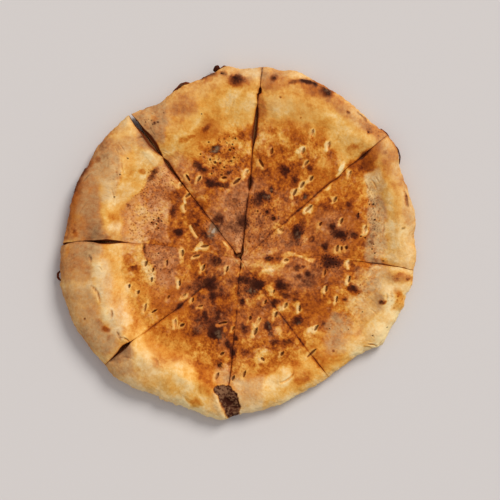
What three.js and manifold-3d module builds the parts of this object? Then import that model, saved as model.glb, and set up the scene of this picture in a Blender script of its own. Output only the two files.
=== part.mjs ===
// A round focaccia, about 256 mm across, cut four times right across into eight slices
// that still lie together. The rim is puffed, high on the left and low on the right, and
// the middle is flat and pricked all over with slits, so that it baked thin.
// Millimetres, +Z up. The origin is on the table, under the middle of the bread.

import * as THREE from "three";
import Module from "manifold-3d";

const wasm = await Module();
wasm.setup();

// Where the four cuts cross, and how blunt each slice's tip is.
const hub = { x: 2.26, y: -12.7 };
const tipRadius = 1.6;

// The bread's middle: its thickness, and the waves in it, each with a length and the
// direction that it runs in, in degrees.
const floorHeight = 9.6;
const floorWaves = [
  { height: 0.45, length: 78, turn: 38, phase: 0.9 },
  { height: 0.4, length: 61, turn: 141, phase: 2.2 },
  { height: 0.35, length: 47, turn: 80, phase: 4.0 },
];

// The rim's side: how high its widest line lies, how far it tucks in below that, and how
// square its shoulder is (2 is an ellipse).
const noseShare = 0.4;
const tuckIn = 7;
const shoulder = 2.25;
const edgeFade = 6;

// Ripples round the edge, seen from above: how many there are, their height and phase.
const edgeRipples = [
  { count: 11, height: 0.55, phase: 0.6 },
  { count: 19, height: 0.4, phase: 2.1 },
  { count: 31, height: 0.28, phase: 0 },
];

// Where the edge stands out, or stays back, from that smooth line: place, width and distance.
const edgeDents = [
  { x: 109, y: 79, wide: 12, out: 3.4 },
  { x: 115, y: 66, wide: 8, out: 2.6 },
  { x: 18, y: 126, wide: 7, out: 1.4 },
  { x: -8.5, y: 126.5, wide: 7, out: 2.4 },
  { x: -28, y: 115.5, wide: 9, out: -1.8 },
  { x: -53, y: 103, wide: 17, out: -5.2 },
  { x: -122, y: 13, wide: 14, out: -3.6 },
  { x: -107, y: -72, wide: 15, out: -2.4 },
  { x: -91, y: -94, wide: 6, out: 0.8 },
  { x: -59, y: -109, wide: 10, out: -2.8 },
  { x: -13, y: -127, wide: 12, out: 2.0 },
  { x: 11, y: -121, wide: 10, out: -2.0 },
  { x: 93, y: -80, wide: 7, out: 2.4 },
  { x: 104, y: -72, wide: 9, out: 4.6 },
  { x: 120, y: -46, wide: 5, out: 1.2 },
  { x: 126, y: -32, wide: 6, out: 1.8 },
];

// The rim, from the right and on anticlockwise in equal steps: reach from the hub to the
// edge, height of the crest, and how far inside the edge the crest and the inner foot lie.
const rim = [
  { reach: 124.6, rise: 13.6, crest: 11, foot: 25 },
  { reach: 130.0, rise: 15.0, crest: 11, foot: 25 },
  { reach: 135.2, rise: 14.4, crest: 14, foot: 34 },
  { reach: 139.0, rise: 14.2, crest: 17, foot: 42 },
  { reach: 137.2, rise: 15.0, crest: 17, foot: 44 },
  { reach: 132.0, rise: 15.6, crest: 20, foot: 48 },
  { reach: 131.4, rise: 17.4, crest: 22, foot: 46 },
  { reach: 130.4, rise: 21.6, crest: 26, foot: 44 },
  { reach: 129.6, rise: 22.0, crest: 28, foot: 46 },
  { reach: 129.4, rise: 21.0, crest: 27, foot: 45 },
  { reach: 121.8, rise: 19.0, crest: 22, foot: 40 },
  { reach: 114.4, rise: 17.0, crest: 19, foot: 37 },
  { reach: 112.0, rise: 14.8, crest: 14, foot: 28 },
  { reach: 104.6, rise: 14.0, crest: 11, foot: 25 },
  { reach: 105.4, rise: 12.8, crest: 10, foot: 24 },
  { reach: 117.6, rise: 13.0, crest: 10, foot: 25 },
];

// The half cuts, anticlockwise from the right. Each runs out from the hub at an angle in
// degrees, bows sideways by a few mm half way, and gapes by a stated width at a radius.
const slack = 0.6;
const cuts = [
  { angle: -3.3, bow: 4.6, gape: 1.2, gapeAt: 102, gapeSpan: 12 },
  { angle: 40.6, bow: 0.3, gape: 0.8, gapeAt: 114, gapeSpan: 12 },
  { angle: 84.0, bow: -0.2, gape: 2.4, gapeAt: 97, gapeSpan: 18 },
  { angle: 127.5, bow: 0, gape: 5.2, gapeAt: 112, gapeSpan: 17 },
  { angle: 174.0, bow: -4.2, gape: 3.2, gapeAt: 98, gapeSpan: 12 },
  { angle: 217.8, bow: -2.6, gape: 3.0, gapeAt: 105, gapeSpan: 9 },
  { angle: 264.3, bow: 0.6, gape: 0.8, gapeAt: 66, gapeSpan: 16 },
  { angle: 306.8, bow: -1.0, gape: 0.2, gapeAt: 70, gapeSpan: 30 },
];
// This slice's tip is broken off short at the crust.
const shortTips = { nnw: 5.6 };
const sliceNames = ["ene", "nne", "nnw", "wnw", "wsw", "ssw", "sse", "ese"];

// The wheel pressed the crust down beside each cut.
const pressDepth = 1.1;
const pressWidth = 2.6;

// Air bubbles and dents in the crust: place, half length and half width, turn in degrees
// and height. A dent's height is below zero.
const swells = [
  { x: -88, y: 47, long: 17, wide: 9, turn: 62, height: 2.2 },
  { x: -92, y: 12, long: 13, wide: 8, turn: 95, height: 1.6 },
  { x: -99, y: -20, long: 12, wide: 6, turn: 100, height: 1.2 },
  { x: -88, y: -50, long: 8, wide: 5, turn: 120, height: 1.3 },
  { x: -66, y: -80, long: 11, wide: 7, turn: 40, height: 2.0 },
  { x: -38, y: -96, long: 12, wide: 6, turn: 155, height: 1.4 },
  { x: 34, y: -92, long: 16, wide: 3.4, turn: 24, height: 1.5 },
  { x: 104, y: -38, long: 7, wide: 5, turn: 60, height: 2.2 },
  { x: 101, y: -64, long: 7, wide: 4, turn: 40, height: 1.6 },
  { x: 98, y: 20, long: 24, wide: 6, turn: 95, height: -1.6 },
  { x: 63, y: 107, long: 6, wide: 4, turn: -35, height: 1.4 },
  { x: 1, y: 116, long: 7, wide: 5, turn: 10, height: 1.6 },
  { x: -14, y: 66, long: 6, wide: 5, turn: 20, height: 1.2 },
  { x: 48, y: 74, long: 22, wide: 12, turn: -30, height: 1.2 },
];

// The burst blister at the foot of the bread, where the lowest cut comes out.
const burst = { x: -6.5, y: -114, long: 11, wide: 4.6, turn: -62, depth: 3.4 };

// Scorched lumps that stand out low on the rim's side: angle at the hub, how far the middle
// lies outside the widest line, height above the table, and three half sizes.
const scorchedLumps = [
  { slice: "nnw", angle: 97.2, out: 1.4, up: 5.8, size: [2.4, 2.8, 2.2] },
  { slice: "nnw", angle: 101.2, out: -0.6, up: 5.6, size: [4.6, 1.8, 1.6] },
  { slice: "nnw", angle: 109.6, out: 0.6, up: 5.8, size: [6.4, 2.4, 2.0] },
  { slice: "wsw", angle: 185.3, out: -0.6, up: 6.2, size: [2.8, 2.4, 2.0] },
  { slice: "ene", angle: 34.6, out: -0.6, up: 5.0, size: [7.0, 1.8, 1.8] },
  { slice: "nne", angle: 43.0, out: -0.2, up: 5.0, size: [2.8, 1.6, 1.6] },
];

// Docking: slits pricked on a spiral of even spacing, each moved and turned a little. They
// keep clear of the cuts and the hub, and reach a little way up the rim's inner foot.
const dockCount = 120;
const dockMiddle = { x: 8, y: -10.6 };
const dockSpacing = 8.3;
const dockJitter = 3.0;
const dockClear = 2.6;
const hubClear = 7.8;
const dockFromFoot = -4;
const goldenAngle = Math.PI * (3 - Math.sqrt(5));

// One slit at the crust, and the wedge cut for it: how far that reaches over the crust, and
// how wide its top and its bottom are beside the slit.
const slit = { long: 3.4, wide: 1.5, deep: 3.2, turn: 62, turnJitter: 26 };
const slitWedge = { over: 0.8, top: 1.25, bottom: 0.35, sides: 4 };

// The mesh of one slice: rows along its section and columns across it.
const innerRows = 16;
const shoulderRows = 6;
const noseAngle = 22;
const tuckRows = 3;
const columns = 18;
const crowding = { share: 0.75, from: 5, to: 30 };

const radians = THREE.MathUtils.degToRad;

// A steady pseudo-random share from 0 to 1 for a whole number.
function share(n) {
  const wild = Math.sin(n * 12.9898 + 4.1414) * 43758.5453;
  return wild - Math.floor(wild);
}

function smooth(low, high, value) {
  return THREE.MathUtils.smoothstep(value, low, high);
}

// One of the rim's sizes at any angle about the hub, on a closed curve through the list.
function rimSize(key, angle) {
  const count = rim.length;
  const turns = angle / (2 * Math.PI);
  const place = (turns - Math.floor(turns)) * count;
  const first = Math.floor(place);
  const part = place - first;
  const [a, b, c, d] = [-1, 0, 1, 2].map((step) => rim[(first + step + count) % count][key]);
  return (
    b +
    0.5 * part * (c - a + part * (2 * a - 5 * b + 4 * c - d + part * (3 * (b - c) + d - a)))
  );
}

// The bread's edge seen from above: the drawn outline with its dents and small ripples.
function edgeReach(angle) {
  let reach = rimSize("reach", angle);
  for (const dent of edgeDents) {
    const far = Math.hypot(dent.x - hub.x, dent.y - hub.y);
    const away = 2 * Math.sin((angle - Math.atan2(dent.y - hub.y, dent.x - hub.x)) / 2) * far;
    reach += dent.out * Math.exp(-((away / dent.wide) ** 2));
  }
  for (const ripple of edgeRipples) {
    reach += ripple.height * Math.sin(ripple.count * angle + ripple.phase);
  }
  return reach;
}

function mound(x, y, shape) {
  const turn = radians(shape.turn);
  const dx = x - shape.x;
  const dy = y - shape.y;
  const along = (dx * Math.cos(turn) + dy * Math.sin(turn)) / shape.long;
  const across = (dy * Math.cos(turn) - dx * Math.sin(turn)) / shape.wide;
  return Math.exp(-(along * along + across * across));
}

// A half cut's middle line at a radius, as an angle about the hub, and half its gap there.
function cutAngle(cut, radius) {
  const reach = edgeReach(radians(cut.angle));
  const sideways = cut.bow * Math.sin(Math.PI * Math.min(radius / reach, 1));
  return radians(cut.angle) + sideways / Math.max(radius, tipRadius);
}

function halfGap(cut, radius) {
  const away = (radius - cut.gapeAt) / cut.gapeSpan;
  return 0.5 * (slack + cut.gape * Math.exp(-away * away));
}

// How far a point lies from the nearest cut.
function cutDistance(angle, radius) {
  let nearest = Infinity;
  for (const cut of cuts) {
    const off = Math.abs(Math.sin((angle - cutAngle(cut, radius)) / 2)) * 2 * radius;
    nearest = Math.min(nearest, off - halfGap(cut, radius));
  }
  return Math.max(nearest, 0);
}

// Height of the flat middle at a point.
function floorAt(x, y) {
  let height = floorHeight;
  for (const wave of floorWaves) {
    const turn = radians(wave.turn);
    const along = x * Math.cos(turn) + y * Math.sin(turn);
    height += wave.height * Math.sin((2 * Math.PI * along) / wave.length + wave.phase);
  }
  return height;
}

// Height of the top crust above the table, at any point inside the edge.
function crustHeight(angle, radius) {
  const reach = edgeReach(angle);
  const rise = rimSize("rise", angle);
  const crest = rimSize("crest", angle);
  const foot = rimSize("foot", angle);
  const inside = reach - radius;
  const x = hub.x + radius * Math.cos(angle);
  const y = hub.y + radius * Math.sin(angle);

  let height;
  if (inside < crest) {
    const nose = noseShare * rise;
    const out = Math.max(1 - inside / crest, 0);
    height = nose + (rise - nose) * Math.pow(Math.max(1 - Math.pow(out, shoulder), 0), 1 / shoulder);
  } else {
    height = THREE.MathUtils.lerp(rise, floorAt(x, y), smooth(crest, foot, inside));
  }
  const onTop = smooth(0, edgeFade, inside);
  for (const swell of swells) {
    height += onTop * swell.height * mound(x, y, swell);
  }
  height -= onTop * burst.depth * mound(x, y, burst);
  const near = cutDistance(angle, radius) / pressWidth;
  return height - onTop * pressDepth * Math.exp(-near * near);
}

// The closed section of the bread at one angle, from the tip out along the top, over the
// edge and back along the underside. The points on the top have no height yet.
function section(angle, tip) {
  const reach = edgeReach(angle);
  const crest = rimSize("crest", angle);
  const nose = noseShare * rimSize("rise", angle);
  const points = [];
  for (let i = 0; i < innerRows; i++) {
    points.push({ radius: THREE.MathUtils.lerp(tip, reach - crest, i / innerRows) });
  }
  for (let i = 0; i <= shoulderRows; i++) {
    const lift = radians(THREE.MathUtils.lerp(90, noseAngle, i / shoulderRows));
    points.push({ radius: reach - crest + crest * Math.pow(Math.cos(lift), 2 / shoulder) });
  }
  for (let i = 0; i <= tuckRows; i++) {
    const drop = radians((90 * i) / tuckRows);
    points.push({
      radius: reach - tuckIn * (1 - Math.cos(drop)),
      height: nose * (1 - Math.sin(drop)),
    });
  }
  points.push({ radius: tipRadius, height: 0 });
  return points;
}

// Columns crowd towards the cuts, where the crust is pressed down, except at the tip.
function columnShare(column, radius) {
  const even = column / columns;
  const crowded = 0.5 - 0.5 * Math.cos(Math.PI * even);
  const pull = crowding.share * smooth(crowding.from, crowding.to, radius);
  return THREE.MathUtils.lerp(even, crowded, pull);
}

// The closed mesh of the slice between two half cuts, as a manifold solid.
function sliceSolid(first, second, tip) {
  const from = radians(first.angle);
  const to = radians(second.angle) + (second.angle < first.angle ? 2 * Math.PI : 0);
  const wrap = to - radians(second.angle);
  const positions = [];
  const faces = [];
  let rows = 0;
  for (let column = 0; column <= columns; column++) {
    const middle = THREE.MathUtils.lerp(from, to, column / columns);
    const points = section(middle, tip);
    rows = points.length;
    for (const point of points) {
      const low = cutAngle(first, point.radius) + halfGap(first, point.radius) / point.radius;
      const high = cutAngle(second, point.radius) + wrap - halfGap(second, point.radius) / point.radius;
      const angle = THREE.MathUtils.lerp(low, high, columnShare(column, point.radius));
      const stretch = edgeReach(angle) / edgeReach(middle);
      const radius = tipRadius + (point.radius - tipRadius) * stretch;
      const height = point.height ?? crustHeight(angle, radius);
      positions.push(hub.x + radius * Math.cos(angle), hub.y + radius * Math.sin(angle), height);
    }
  }
  const at = (row, column) => column * rows + (row % rows);
  for (let column = 0; column < columns; column++) {
    for (let row = 0; row < rows; row++) {
      const [a, b] = [at(row, column), at(row + 1, column)];
      const [c, d] = [at(row + 1, column + 1), at(row, column + 1)];
      faces.push(a, b, c, a, c, d);
    }
  }
  addCutFace(faces, positions, at, rows, 0, false);
  addCutFace(faces, positions, at, rows, columns, true);
  return solidFrom(new Float32Array(positions), new Uint32Array(faces));
}

// Closes the slice with the face that the knife left, at its first or last column.
function addCutFace(faces, positions, at, rows, column, facesOn) {
  const outline = [];
  for (let row = 0; row < rows; row++) {
    const start = 3 * at(row, column);
    const radius = Math.hypot(positions[start] - hub.x, positions[start + 1] - hub.y);
    outline.push(new THREE.Vector2(radius, positions[start + 2]));
  }
  for (const [a, b, c] of THREE.ShapeUtils.triangulateShape(outline, [])) {
    const area = outline[b].clone().sub(outline[a]).cross(outline[c].clone().sub(outline[a]));
    const upright = area > 0 !== facesOn;
    const [second, third] = upright ? [b, c] : [c, b];
    faces.push(at(a, column), at(second, column), at(third, column));
  }
}

function solidFrom(vertProperties, triVerts) {
  return new wasm.Manifold(new wasm.Mesh({ numProp: 3, vertProperties, triVerts }));
}

// A closed three.js geometry as a solid, with the vertices of neighbouring faces merged.
function geometrySolid(geometry, matrix) {
  const loose = geometry.index ? geometry.toNonIndexed() : geometry.clone();
  const position = loose.applyMatrix4(matrix).getAttribute("position");
  const places = new Map();
  const points = [];
  const faces = [];
  for (let i = 0; i < position.count; i++) {
    const corner = [position.getX(i), position.getY(i), position.getZ(i)];
    const key = corner.map((value) => value.toFixed(4)).join(" ");
    if (!places.has(key)) {
      places.set(key, points.length / 3);
      points.push(...corner);
    }
    faces.push(places.get(key));
  }
  return solidFrom(new Float32Array(points), new Uint32Array(faces));
}

// A slit, as the wedge-shaped bite that the docker takes out of the crust.
function slitBite(spot) {
  const { over, top, bottom, sides } = slitWedge;
  const shape = new THREE.CylinderGeometry(top, bottom, slit.deep + over, sides);
  const middle = spot.top + (over - slit.deep) / 2;
  const matrix = new THREE.Matrix4().makeTranslation(spot.x, spot.y, middle);
  matrix.multiply(new THREE.Matrix4().makeRotationZ(spot.turn));
  matrix.multiply(new THREE.Matrix4().makeScale(slit.long / 2, slit.wide / 2, 1));
  matrix.multiply(new THREE.Matrix4().makeRotationX(Math.PI / 2));
  return geometrySolid(shape, matrix);
}

// Every slit's place. Those on the rim or too near a cut are left out.
function dockingSpots() {
  const spots = [];
  for (let n = 0; n < dockCount; n++) {
    const out = dockSpacing * Math.sqrt(n + 0.5);
    const round = n * goldenAngle;
    const x = dockMiddle.x + out * Math.cos(round) + dockJitter * (2 * share(3 * n) - 1);
    const y = dockMiddle.y + out * Math.sin(round) + dockJitter * (2 * share(3 * n + 1) - 1);
    const radius = Math.hypot(x - hub.x, y - hub.y);
    const angle = Math.atan2(y - hub.y, x - hub.x);
    const turn = radians(slit.turn + slit.turnJitter * (2 * share(3 * n + 2) - 1));
    const pastFoot = edgeReach(angle) - radius - rimSize("foot", angle);
    const clear = radius > hubClear && cutDistance(angle, radius) > dockClear;
    if (pastFoot > dockFromFoot && clear) {
      spots.push({ x, y, turn, angle, top: crustHeight(angle, radius) });
    }
  }
  return spots;
}

function lumpSolid(lump) {
  const angle = radians(lump.angle);
  const radius = edgeReach(angle) + lump.out;
  const matrix = new THREE.Matrix4().makeTranslation(
    hub.x + radius * Math.cos(angle),
    hub.y + radius * Math.sin(angle),
    lump.up,
  );
  matrix.multiply(new THREE.Matrix4().makeRotationZ(angle + Math.PI / 2));
  matrix.multiply(new THREE.Matrix4().makeScale(...lump.size));
  return geometrySolid(new THREE.IcosahedronGeometry(1, 1), matrix);
}

function meshFrom(solid, name, material) {
  const { numProp, vertProperties, triVerts } = solid.getMesh();
  const geometry = new THREE.BufferGeometry();
  const count = vertProperties.length / numProp;
  const position = new Float32Array(3 * count);
  for (let i = 0; i < count; i++) {
    position.set(vertProperties.subarray(i * numProp, i * numProp + 3), 3 * i);
  }
  geometry.setAttribute("position", new THREE.BufferAttribute(position, 3));
  geometry.setIndex(new THREE.BufferAttribute(new Uint32Array(triVerts), 1));
  geometry.computeVertexNormals();
  const mesh = new THREE.Mesh(geometry, material);
  mesh.name = name;
  return mesh;
}

// True if a spot's angle lies between two half cuts.
function between(angle, first, second) {
  const full = 2 * Math.PI;
  const span = (radians(second.angle - first.angle) + full) % full;
  return (angle - radians(first.angle) + 2 * full) % full < span;
}

const crust = new THREE.MeshStandardMaterial({
  name: "baked_crust",
  color: 0xd09a52,
  roughness: 0.72,
  metalness: 0,
});

const focaccia = new THREE.Group();
focaccia.name = "focaccia";
const spots = dockingSpots();
cuts.forEach((first, index) => {
  const second = cuts[(index + 1) % cuts.length];
  let solid = sliceSolid(first, second, shortTips[sliceNames[index]] ?? tipRadius);
  for (const lump of scorchedLumps.filter((each) => each.slice === sliceNames[index])) {
    solid = solid.add(lumpSolid(lump));
  }
  for (const spot of spots.filter((each) => between(each.angle, first, second))) {
    solid = solid.subtract(slitBite(spot));
  }
  focaccia.add(meshFrom(solid, "slice_" + sliceNames[index], crust));
});

export default focaccia;
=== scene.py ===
import math

import bmesh
import bpy
import numpy as np
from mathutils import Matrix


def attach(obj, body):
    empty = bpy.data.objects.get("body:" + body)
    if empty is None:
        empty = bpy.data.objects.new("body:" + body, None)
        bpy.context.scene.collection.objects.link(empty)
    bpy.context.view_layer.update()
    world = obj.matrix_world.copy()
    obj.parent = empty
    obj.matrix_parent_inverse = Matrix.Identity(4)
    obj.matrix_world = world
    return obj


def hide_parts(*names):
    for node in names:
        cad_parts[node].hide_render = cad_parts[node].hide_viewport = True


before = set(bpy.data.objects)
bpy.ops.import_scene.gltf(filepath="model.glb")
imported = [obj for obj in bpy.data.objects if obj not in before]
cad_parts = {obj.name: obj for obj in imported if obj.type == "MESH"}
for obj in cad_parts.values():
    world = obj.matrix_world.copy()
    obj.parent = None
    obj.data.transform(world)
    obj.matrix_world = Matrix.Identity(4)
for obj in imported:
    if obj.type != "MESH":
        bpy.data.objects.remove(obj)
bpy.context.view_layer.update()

mm = 0.001
degree = math.pi / 180
farOff = 1e9                     # farther than any distance here

# The bread, in millimetres. These are the sizes that its solids are made from.
bread = {
    "hub": (2.26, -12.7),        # where the four cuts cross
    "middle": 9.6,               # thickness of the flat middle
    "noseShare": 0.4,            # how high the rim's widest line lies, as a share of its crest
    "tuckIn": 7.0,               # how far the rim tucks in below that line
    "tuckFrom": 0.86,            # from which share of the way out it does
    "shoulder": 2.25,            # how square the rim's shoulder is, 2 is an ellipse
    "edgeFade": 6.0,             # how far in from the edge the bubbles have their full height
    "pressDepth": 1.1,           # the wheel pressed the crust down beside each cut
    "pressWidth": 2.6,
    "pressClosed": 0.25,         # how much of that shows where the cut has closed again
    "pressOpens": (0.1, 1.2),    # the gaps between which the rest comes to show
    "cutFoot": 0.05,             # how wide a cut is at its foot, as a share of its width at the crust
    "openFoot": 0.8,             # the same where it stands open down to the table
    "cutCloses": (0.92, 0.62),   # the height, as a share, at which a narrow cut has closed, and a wide one
    "cutWide": (0.8, 3),         # the gaps of such a narrow cut and of such a wide one
    "cutOpens": 1.03,            # the height, as a share, from which it narrows
    "footTip": 0.3,              # how blunt each slice's tip is at its foot, and at its crust
    "crustTip": 0.5,
}

# The rim at sixteen even steps, anticlockwise from the right.
rim = {
    "reach": (124.6, 130.0, 135.2, 139.0, 137.2, 132.0, 131.4, 130.4,
              129.6, 129.4, 121.8, 114.4, 112.0, 104.6, 105.4, 117.6),
    "rise": (13.6, 15.0, 14.4, 14.2, 15.0, 15.6, 17.4, 21.6, 22.0, 21.0, 19.0, 17.0, 14.8, 14.0, 12.8, 13.0),
    "crest": (11, 11, 14, 17, 17, 20, 22, 26, 28, 27, 22, 19, 14, 11, 10, 10),
    "foot": (25, 25, 34, 42, 44, 48, 46, 44, 46, 45, 40, 37, 28, 25, 24, 25),
}
edgeRipples = ((11, 0.55, 0.6), (19, 0.4, 2.1), (31, 0.28, 0.0))          # count, height, phase
# Where the edge stands out, or stays back, from that smooth line: x, y, width, distance.
edgeDents = (
    (109, 79, 12, 3.4), (115, 66, 8, 2.6), (18, 126, 7, 1.4), (-8.5, 126.5, 7, 2.4), (-28, 115.5, 9, -1.8),
    (-53, 103, 17, -5.2), (-122, 13, 14, -3.6), (-107, -72, 15, -2.4), (-91, -94, 6, 0.8),
    (-59, -109, 10, -2.8), (-13, -127, 12, 2.0), (11, -121, 10, -2.0), (93, -80, 7, 2.4),
    (104, -72, 9, 4.6), (120, -46, 5, 1.2), (126, -32, 6, 1.8),
)
# Smaller ones, which the solids leave out.
smallDents = (
    (-127, -17, 9, 1.5), (-115, -58, 12, -1.2), (-107, 58, 14, -1.0), (-120, 26, 14, -0.8),
    (-46, 108, 4, 0.8), (-39, 112, 5, 0.8), (-26, -124, 5, 0.8), (34, -115, 7, 2.2), (126, 1, 6, -2.2),
    (91, -77.5, 6, -2.2), (13.5, -121, 7, 1.6), (73, -90, 8, 1.5), (-44, -116, 6, -1.8),
    (-85, 84.5, 6, -1.2), (-50, 105, 6, 1.3), (2, -123, 5, -1.2), (-26, 118, 6, 1.0),
)
ragged = (-46, -116, 24, 12, 20, 1.8)       # where the edge is roughest: an oval, and how much rougher
floorWaves = ((0.45, 78, 38, 0.9), (0.4, 61, 141, 2.2), (0.35, 47, 80, 4.0))  # height, length, turn, phase

# The half cuts: angle in degrees, sideways bow, how far it stands open and how far it strays sideways, as
# pairs with the radius first, how dark the line it leaves is, pressed crust and painted shade where the cut
# has closed, and where it comes to stand open down to the table.
cuts = (
    {"angle": -3.3, "bow": 4.6, "strays": ((0, 0), (1, 0)), "scarAndShade": 0.09,
     "open": ((0, 0.02), (74, 0.02), (80, 0.3), (88, 0.6), (95, 1.0), (104, 1.3), (110, 0.9), (114, 0.4),
              (116.5, 0.9), (120, 0.3))},
    {"angle": 40.6, "bow": 0.3, "scarAndShade": 0.18,
     "strays": ((84, 0), (91, -1.2), (96, 0.2), (103, 0.6), (112, 0)),
     "open": ((0, 0.02), (33, 0.02), (50, 0.1), (62, 0.3), (75, 0.45), (96, 0.6), (108, 0.5), (114, 1.6),
              (120, 1.4), (126, 0.6), (130, 0.15), (138, 0.1))},
    {"angle": 84.0, "bow": -0.2, "scarAndShade": 0.16,
     "strays": ((113, 0), (116, 0.3), (119, 0.3), (120, -0.9), (123, -0.9), (126, -0.4), (137, -0.4)),
     "open": ((1.6, 0.3), (3.5, 1.6), (5, 2.6), (8, 2.2), (12, 1.3), (20, 1.3), (30, 1.0), (45, 0.8),
              (49, 0.4), (52, 2.2), (57, 2.4), (62, 0.9), (70, 0.8), (78, 1.2), (84, 2.0), (90, 3.0),
              (103, 3.0), (109, 2.0), (112.5, 0.5), (115, 1.2), (118, 1.5), (120, 2.6), (123, 2.4),
              (124.5, 0.7), (137, 0.8))},
    {"angle": 127.5, "bow": 0.0, "through": (113, 124), "scarAndShade": 0.18,
     "strays": ((0, 0), (2, 0.2), (4, 0.9), (6.5, 0.9), (9, 0.1), (11, 0)),
     "open": ((1.6, 0.3), (3.5, 1.6), (5, 2.4), (6.5, 2.2), (9, 0.8), (11, 0.7), (35, 0.6), (60, 1.0),
              (74, 1.8), (84, 3.0), (88, 3.3), (91, 1.8), (92.6, 0.5), (94, 1.6), (98, 3.6), (104, 6.0),
              (110, 6.2), (116, 4.4), (124, 3.8), (131, 2.0))},
    {"angle": 174.0, "bow": -4.2, "strays": ((118, 0), (124, 1.2), (130, 3.6)), "scarAndShade": 0.05,
     "open": ((0, 0.02), (76, 0.02), (82, 0.6), (88, 2.0), (94, 3.4), (98, 4.0), (101, 3.4), (106, 1.8),
              (110, 1.5), (113, 1.0), (115, 0.5), (120, 0.5), (123, 1.2), (125, 1.8), (131, 2.2))},
    {"angle": 217.8, "bow": -2.6, "scarAndShade": 0.14,
     "strays": ((0, 0), (33, 1.1), (40, 0.9), (55, 2.2), (72, 1.5), (87, 1.1), (96, -0.2), (105, -0.8),
                (112, -0.6), (118, -0.4), (124, -0.3)),
     "open": ((0, 0.02), (50, 0.05), (62, 0.4), (70, 0.7), (76, 0.2), (92, 0.05), (95, 0.3), (98, 1.2),
              (101, 2.6), (104, 3.6), (107, 3.2), (110, 2.0), (114, 1.5), (118, 1.0), (120, 0.3),
              (124, 0.1))},
    {"angle": 264.3, "bow": 0.6, "strays": ((0, 0), (1, 0)), "scarAndShade": 0.14,
     "open": ((1.6, 0.3), (3, 1.6), (6, 1.6), (9, 0.2), (20, 0.05), (48, 0.08), (57, 0.7), (66, 0.9),
              (70, 0.7), (74, 1.0), (89, 1.2), (92, 0.1), (120, 0.05))},
    {"angle": 306.8, "bow": -1.0, "strays": ((0, 0), (1, 0)), "scarAndShade": 0.2,
     "open": ((0, 0.02), (82, 0.02), (87, 0.6), (98, 0.8), (101, 0.15), (106, 0.05))},
)
# How the knife's path wanders: length, distance, and from which radius to which that sets in. The least
# radius by which a stray sideways is turned to an angle.
knife = {"wander": ((9.0, 0.35), (3.6, 0.16)), "wanderFrom": (2, 9), "leastRadius": 1.6}
sliceTips = {"nnw": 5.6}         # this slice's tip broke off short
sliceNames = ("ene", "nne", "nnw", "wnw", "wsw", "ssw", "sse", "ese")

# Air bubbles and dents: x, y, half length, half width, turn in degrees, height.
swells = (
    (-88, 47, 17, 9, 62, 2.2), (-92, 12, 13, 8, 95, 1.6), (-99, -20, 12, 6, 100, 1.2),
    (-88, -50, 8, 5, 120, 1.3), (-66, -80, 11, 7, 40, 2.0), (-38, -96, 12, 6, 155, 1.4),
    (34, -92, 16, 3.4, 24, 1.5), (104, -38, 7, 5, 60, 2.2), (101, -64, 7, 4, 40, 1.6),
    (98, 20, 24, 6, 95, -1.6), (63, 107, 6, 4, -35, 1.4), (1, 116, 7, 5, 10, 1.6), (-14, 66, 6, 5, 20, 1.2),
    (48, 74, 22, 12, -30, 1.2),
)
burst = (-6.5, -114, 11, 4.6, -62, -3.4)      # the dent of the bubble that burst at the edge

# Odd numbers that spread the random patterns and keep them apart from each other.
scatter = {
    "weights": (12.9898, 78.233, 37.719, 9.151), "wild": 43758.5453,
    "turn": 0.7, "shift": (17.3, 5.1), "cellShift": (13.7, 7.9),
}
# Each random pattern's own seed. Its layers take the seeds that follow.
seeds = {
    "middleStrays": 1, "rough": 2, "flourGrain": 5, "warpX": 7, "warpY": 8, "grit": 9, "rimMottle": 10,
    "ash": 11, "crumbs": 13, "streak": 15, "dust": 16, "scarAndShade": 17, "middleMottle": 20, "blister": 30,
    "lumps": 40, "underside": 45, "speck": (50, 53), "wander": 60, "wrinkle": 70, "wrinklePlaces": 71,
    "edge": 80, "flake": 90,
}


def smooth(low, high, value):
    part = np.clip((value - low) / (high - low), 0, 1)
    return part * part * (3 - 2 * part)


def lerp(a, b, part):
    return a + (b - a) * part


def hashed(*whole):
    # numbers spread from 0 to 1, the same each time for the same whole numbers
    total = sum(part * weight for part, weight in zip(whole, scatter["weights"]))
    wild = np.sin(total) * scatter["wild"]
    return wild - np.floor(wild)


def clouds(x, y, z, size, seed):
    # smooth random lumps about size mm across, from -1 to 1
    turn = scatter["turn"] * seed
    shiftX, shiftY = scatter["shift"]
    places = ((x * math.cos(turn) - y * math.sin(turn)) / size + shiftX * seed,
              (x * math.sin(turn) + y * math.cos(turn)) / size + shiftY * seed, z / size)
    firsts = [np.floor(place) for place in places]
    parts = [place - first for place, first in zip(places, firsts)]
    parts = [part * part * (3 - 2 * part) for part in parts]
    total = 0
    for corner in range(8):
        steps = (corner & 1, corner >> 1 & 1, corner >> 2 & 1)
        weight = np.prod([part if step else 1 - part for part, step in zip(parts, steps)], axis=0)
        total = total + weight * hashed(*(first + step for first, step in zip(firsts, steps)), seed)
    return 2 * total - 1


def layered(x, y, z, layers, seed):
    # lumps of several sizes together: size, height
    return sum(high * clouds(x, y, z, size, seed + n) for n, (size, high) in enumerate(layers))


def rimSize(key, angle):
    # a size of the rim at an angle, on a smooth curve through its sixteen values
    sizes = np.array(rim[key], float)
    place = np.asarray(angle) / (2 * math.pi) % 1 * len(sizes)
    first = np.floor(place).astype(int)
    part = place - first
    a, b, c, d = (sizes[(first + step) % len(sizes)] for step in (-1, 0, 1, 2))
    return b + 0.5 * part * (c - a + part * (2 * a - 5 * b + 4 * c - d + part * (3 * (b - c) + d - a)))


def pushedBy(angle, dents):
    # how far the edge is pushed out or in by the dents
    total = 0
    for x, y, wide, out in dents:
        around = math.atan2(y - bread["hub"][1], x - bread["hub"][0])
        far = math.hypot(y - bread["hub"][1], x - bread["hub"][0])
        total = total + out * np.exp(-(2 * far * np.sin((angle - around) / 2) / wide) ** 2)
    return total


def edgeReach(angle):
    ripples = sum(high * np.sin(count * angle + phase) for count, high, phase in edgeRipples)
    return rimSize("reach", angle) + pushedBy(angle, edgeDents) + ripples


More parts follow.
